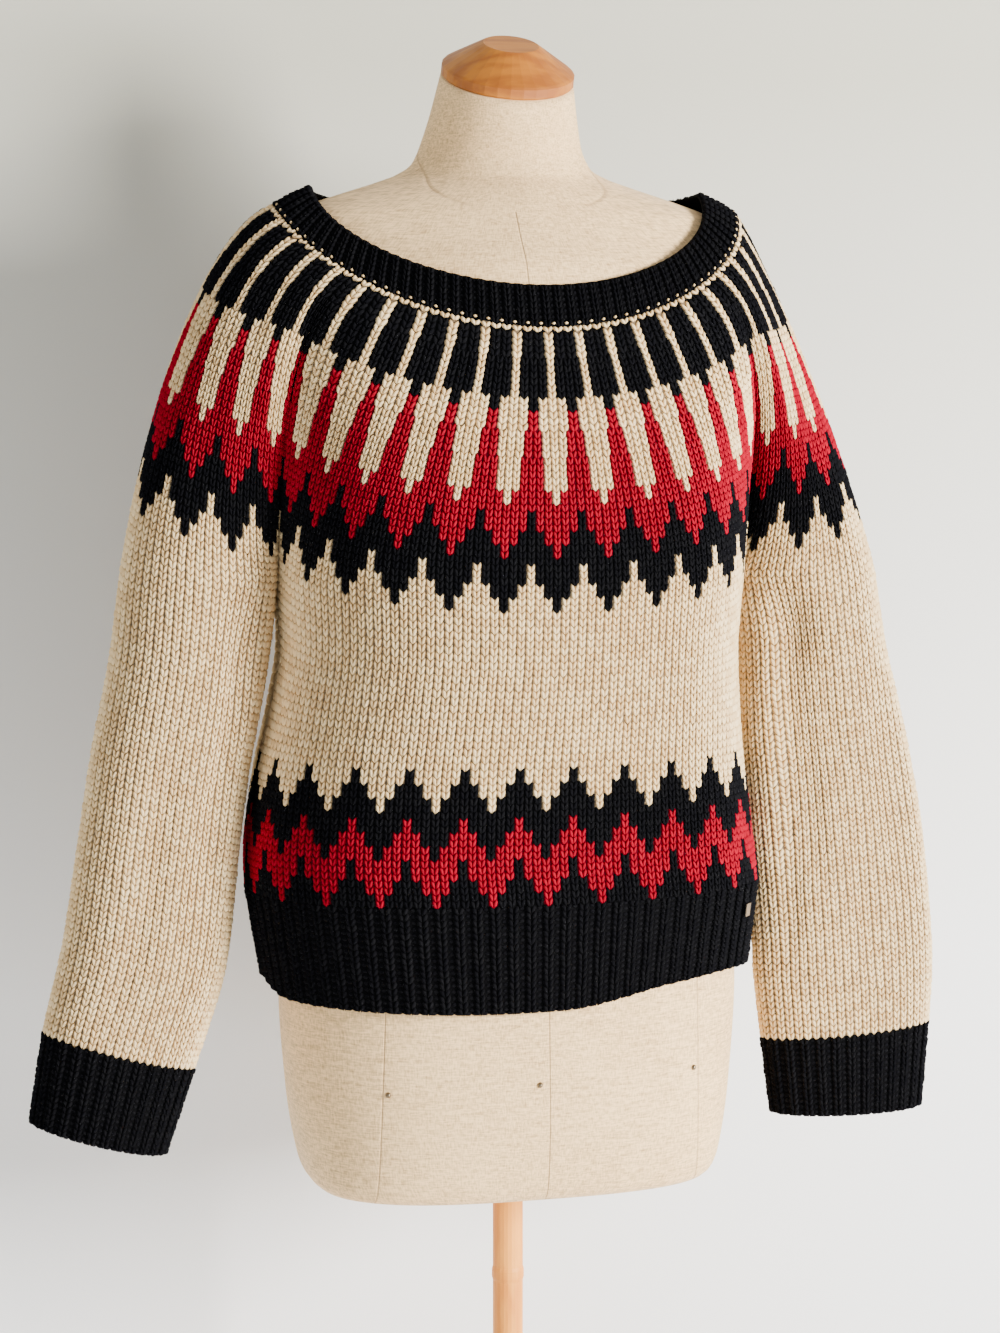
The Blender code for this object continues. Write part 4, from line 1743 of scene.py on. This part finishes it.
    def neckband(self) -> Rib:
        """Band round the neck, from the yoke's seam up and inwards over the form.

        Returns:
            The rib, not built yet.
        """
        neck = self.yoke.neck
        turn = np.linspace(0, neck.repeats, neck.repeats * self.neck_points + 1)
        seam = neck.points(turn)
        slope = neck.slopes(seam)
        rows = round(self.neckband_height / self.rib_row)
        low = seam - slope * (self.yoke.gap / 2)
        high = seam - slope * self.neckband_height
        cloth = Cloth.straight(low, high, rows, True, self.neckband_bulge)
        flat = (self.neckband_girth, self.neckband_height)
        return Rib("neckband", cloth, self.neckband_ribs, rows, flat, "form_cover", dots=True)

    def build(self, knitter: Knitter) -> None:
        """Builds every piece of the garment.

        Args:
            knitter: What turns cells into pieces.
        """
        for facing in Facing:
            self.body_panel(facing).build(knitter)
            self.hem(facing).build(knitter)
        for side in Side:
            self.sleeve_panel(side).build(knitter)
            self.cuff(side).build(knitter)
        self.neckband().build(knitter)


# Dress form


@dataclass
class DressForm:
    """Linen-covered torso with a turned cap, a pole and a round base."""

    columns: int = 128
    lines: int = 150
    pole_size: float = 0.00002
    thread_radius: float = 0.13
    pin_radius: float = 0.0022
    pin_lines: int = 9
    pin_columns: int = 16
    pin_curve_points: int = 721
    pins_at: tuple[tuple[float, float], ...] = (
        (-0.1186, 0.7158),
        (-0.0061, 0.7217),
        (0.1236, 0.7224),
    )
    table: Table = Table(
        ("z", "half_width", "front", "back", "centre_y", "tilt", "squareness"),
        (
            (0.6250, 0.1490, 0.088, 0.086, 0.000, 0.0, 2.9),
            (0.6275, 0.1560, 0.096, 0.094, 0.000, 0.0, 2.9),
            (0.6340, 0.1622, 0.103, 0.101, 0.000, 0.0, 2.8),
            (0.6460, 0.1668, 0.108, 0.106, 0.000, 0.0, 2.7),
            (0.7000, 0.1765, 0.116, 0.113, 0.000, 0.0, 2.4),
            (0.7800, 0.1820, 0.118, 0.116, 0.000, 0.0, 2.3),
            (0.8600, 0.1700, 0.110, 0.108, 0.000, 0.0, 2.3),
            (0.9300, 0.1500, 0.100, 0.094, 0.000, 0.0, 2.3),
            (0.9850, 0.1400, 0.096, 0.088, 0.000, 0.0, 2.3),
            (1.0500, 0.1460, 0.104, 0.090, 0.000, 0.0, 2.3),
            (1.1200, 0.1560, 0.121, 0.094, 0.000, 0.0, 2.3),
            (1.1900, 0.1620, 0.126, 0.096, 0.000, 0.0, 2.3),
            (1.2500, 0.1700, 0.117, 0.097, 0.000, 0.0, 2.2),
            (1.3000, 0.1780, 0.104, 0.094, 0.000, 0.0, 2.0),
            (1.3350, 0.1830, 0.0938, 0.088, 0.000, 0.0, 1.75),
            (1.3600, 0.1810, 0.078, 0.0815, 0.002, 0.0, 1.60),
            (1.3770, 0.1716, 0.070, 0.0773, 0.005, 0.0, 1.50),
            (1.3900, 0.1400, 0.066, 0.0710, 0.009, 1.0, 1.42),
            (1.4000, 0.1090, 0.064, 0.069, 0.013, 3.0, 1.45),
            (1.4080, 0.0860, 0.063, 0.066, 0.017, 6.0, 1.60),
            (1.4160, 0.0715, 0.062, 0.064, 0.020, 9.0, 1.85),
            (1.4290, 0.0640, 0.060, 0.062, 0.020, 13.0, 2.0),
            (1.4480, 0.0585, 0.057, 0.058, 0.014, 18.0, 2.0),
            (1.4820, 0.0515, 0.0515, 0.0515, 0.003, 24.0, 2.0),
        ),
    )

    def rings(self, heights: Array, angle: Array) -> Array:
        """Points of the torso: squared ellipses, tilted forward towards the neck.

        Args:
            heights: Heights of the rings.
            angle: Angles round them from the front, by the wearer's left.

        Returns:
            Points as heights, angles, axes.
        """
        ring = {key: value[:, None] for key, value in self.table.at(heights).items()}
        cosine = np.cos(angle)[None]
        power = 2 / ring["squareness"]
        x = ring["half_width"] * signed_power(np.sin(angle)[None], power)
        depth = np.where(cosine > 0, ring["front"], ring["back"])
        y = -signed_power(cosine, power) * depth
        tilt = np.radians(ring["tilt"])
        height = heights[:, None] + y * np.sin(tilt)
        return np.stack([x, ring["centre_y"] + y * np.cos(tilt), height], axis=2)

    def cover(self) -> bpy.types.Object:
        """Linen torso, closed at both ends, with a map of its own in metres.

        Returns:
            The object.
        """
        rows = np.array([row[0] for row in self.table.rows])
        fine = np.linspace(rows[0], rows[-1], self.lines)
        heights = np.unique(np.concatenate([rows, fine]).round(5))
        angle = np.linspace(0, 2 * math.pi, self.columns, endpoint=False)
        grid = self.rings(heights, angle)
        ends = [grid[:1].mean(axis=1, keepdims=True), grid[-1:].mean(axis=1, keepdims=True)]
        shut = [np.repeat(end, self.columns, axis=1) for end in ends]
        grid = np.concatenate([shut[0], grid, shut[1]])
        lines = len(grid)
        quads = grid_quads(lines, self.columns, True)
        linen = Linen().build()
        obj = new_object("form_cover", grid.reshape(-1, 3), quads, [linen], np.array(0))
        self.weld(obj)
        self.map_threads(obj)
        return obj

    def weld(self, obj: bpy.types.Object) -> None:
        """Merges the points at each pole of the cover into one.

        Args:
            obj: The cover.
        """
        weld = obj.modifiers.new("Poles", "WELD")
        weld.merge_threshold = self.pole_size
        depsgraph = bpy.context.evaluated_depsgraph_get()
        mesh = bpy.data.meshes.new_from_object(obj.evaluated_get(depsgraph))
        obj.modifiers.clear()
        obj.data = mesh

    def map_threads(self, obj: bpy.types.Object) -> None:
        """Map whose first axis is the way round and whose second is the height, in metres.

        Args:
            obj: The cover.
        """
        mesh = obj.data
        layer = mesh.uv_layers.new(name="threads")
        place = np.empty(len(mesh.vertices) * 3, np.float32)
        mesh.vertices.foreach_get("co", place)
        place = place.reshape(-1, 3)
        corner = np.empty(len(mesh.loops), np.int32)
        mesh.loops.foreach_get("vertex_index", corner)
        around = np.arctan2(place[:, 0], -place[:, 1]) * self.thread_radius
        uv = np.stack([around, place[:, 2]], axis=1)[corner]
        layer.uv.foreach_set("vector", uv.astype(np.float32).ravel())

    def pins(self) -> bpy.types.Object:
        """Three round brass pin heads on the front, half sunk in the linen.

        Returns:
            The object.
        """
        turns = np.linspace(0, 2 * math.pi, self.pin_columns, endpoint=False)
        turn, tilt = np.meshgrid(turns, np.linspace(math.pi, 0, self.pin_lines))
        axes = [np.sin(tilt) * np.cos(turn), np.sin(tilt) * np.sin(turn), np.cos(tilt)]
        ball = np.stack(axes, axis=2).reshape(-1, 3) * self.pin_radius
        faces = grid_quads(self.pin_lines, self.pin_columns, True)
        angle = np.linspace(-math.pi / 2, math.pi / 2, self.pin_curve_points)
        points = []
        quads = []
        for i, (x, z) in enumerate(self.pins_at):
            ring = self.rings(np.array([z]), angle)[0]
            y = float(np.interp(x, ring[:, 0], ring[:, 1]))
            points.append(np.array([x, y, z]) + ball)
            quads.append(faces + len(ball) * i)
        brass = Metal("brass_pin", (0.22, 0.17, 0.11), 0.2).build()
        return new_object(
            "form_pins", np.concatenate(points), np.concatenate(quads), [brass], np.array(0)
        )

    def build(self) -> None:
        """Builds the cover and pins, and dresses the turned wood that the solids give."""
        cover = self.cover()
        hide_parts("form_body")
        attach(cover, "root")
        pins = self.pins()
        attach(pins, "root")
        honey = Wood("honey_varnish", (0.46, 0.150, 0.001), (0.28, 0.072, 0.0), 0.06, (1, 5, 5))
        pale = Wood("pale_varnish", (0.92, 0.37, 0.045), (0.74, 0.245, 0.018), 0.04, (6, 6, 1))
        board = replace(pale, name="board_varnish", stretch=(0.8, 7, 7))
        self.dress("form_neck_cap", honey.build())
        self.dress("form_pole", pale.build())
        self.dress("form_base", board.build())
        self.dress("hem_tag", Metal("tag_metal", (0.36, 0.31, 0.25)).build())

    def dress(self, node: str, material: bpy.types.Material) -> None:
        """Gives a solid that stays in view its finish."""
        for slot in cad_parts[node].material_slots:
            slot.material = material


# Studio


@dataclass(frozen=True)
class Lamp:
    """Square soft lamp that looks at the sweater."""

    name: str
    place: Triple
    size: float
    power: float
    tint: Colour
    aim: Triple = (0.0, 0.0, 1.05)

    def build(self) -> None:
        """Puts the lamp at its place and turns it to what it lights."""
        data = bpy.data.lights.new(self.name, "AREA")
        data.shape = "SQUARE"
        data.size = self.size
        data.energy = self.power
        data.color = self.tint
        obj = bpy.data.objects.new(self.name, data)
        obj.location = self.place
        look = Vector(self.aim) - obj.location
        obj.rotation_euler = look.to_track_quat("-Z", "Y").to_euler()
        bpy.context.scene.collection.objects.link(obj)


@dataclass
class Studio:
    """Pale floor that bends up into a wall, soft lights, and the camera."""

    azimuth: float = math.radians(-15.0)
    distance: float = 2.30
    height: float = 1.236
    pitch: float = math.radians(5.16)
    aside: float = math.atan(8 / 2949)
    lens: float = 79.6
    sensor: float = 36.0
    half_width: float = 6.0
    reach: float = 8.0
    wall_y: float = 0.28
    bend: float = 0.06
    bend_points: int = 24
    sheet_columns: int = 9
    lamps: tuple[Lamp, ...] = (
        Lamp("window", (2.1, -2.2, 1.4), 1.1, 300.0, (1.0, 0.97, 0.93)),
        Lamp("fill", (-2.8, -2.0, 1.6), 2.4, 30.0, (0.95, 0.97, 1.0)),
    )
    sky: Colour = (0.90, 0.92, 0.95)
    sky_strength: float = 0.58

    def camera(self) -> None:
        """Camera at the photograph's place and angle."""
        data = bpy.data.cameras.new("camera")
        data.lens = self.lens
        data.sensor_width = self.sensor
        obj = bpy.data.objects.new("camera", data)
        obj.location = (
            math.sin(self.azimuth) * self.distance,
            -math.cos(self.azimuth) * self.distance,
            self.height,
        )
        obj.rotation_euler = (math.pi / 2 - self.pitch, 0.0, self.azimuth + self.aside)
        bpy.context.scene.collection.objects.link(obj)
        bpy.context.scene.camera = obj

    def swept(self, name: str, y: Array, z: Array, material: bpy.types.Material) -> None:
        """Stage sheet: a profile swept from side to side.

        Args:
            name: Name of the sheet.
            y: Depths along the profile.
            z: Heights along the profile.
            material: Its finish.
        """
        x = np.linspace(-self.half_width, self.half_width, self.sheet_columns)
        shape = (len(y), len(x))
        axes = (x, y[:, None], z[:, None])
        grid = np.stack([np.broadcast_to(axis, shape) for axis in axes], axis=2)
        quads = grid_quads(*shape)
        new_object(name, grid.reshape(-1, 3), quads, [material], np.array(0))

    def backdrop(self) -> None:
        """Floor that bends up into the wall by a quarter circle, and goes on behind it."""
        quarter = np.linspace(0, math.pi / 2, self.bend_points)
        bend_y = self.wall_y - self.bend + self.bend * np.sin(quarter)
        bend_z = self.bend - self.bend * np.cos(quarter)
        material = Plaster().build()
        y = np.concatenate([[-self.reach], bend_y, [self.wall_y]])
        z = np.concatenate([[0.0], bend_z, [self.reach]])
        self.swept("backdrop", y, z, material)
        self.swept("floor_behind", np.array([bend_y[0], self.reach]), np.zeros(2), material)

    def light(self) -> None:
        """Lamps, and an even light from all round."""
        for lamp in self.lamps:
            lamp.build()
        world = bpy.data.worlds.new("studio")
        world.use_nodes = True
        background = world.node_tree.nodes["Background"]
        background.inputs["Color"].default_value = (*self.sky, 1.0)
        background.inputs["Strength"].default_value = self.sky_strength
        bpy.context.scene.world = world

    def build(self) -> None:
        """Builds the stage, the lights and the camera."""
        self.backdrop()
        self.light()
        self.camera()
        LOG.info("studio: %d lamps and a camera", len(self.lamps))


def main() -> None:
    """Builds the form, the sweater and the studio."""
    logging.basicConfig(level=logging.INFO, format="%(name)s: %(message)s")
    DressForm().build()
    Sweater().build(Knitter(YarnRange()))
    Studio().build()
    LOG.info("sizes written")


if __name__ == "__main__":
    main()
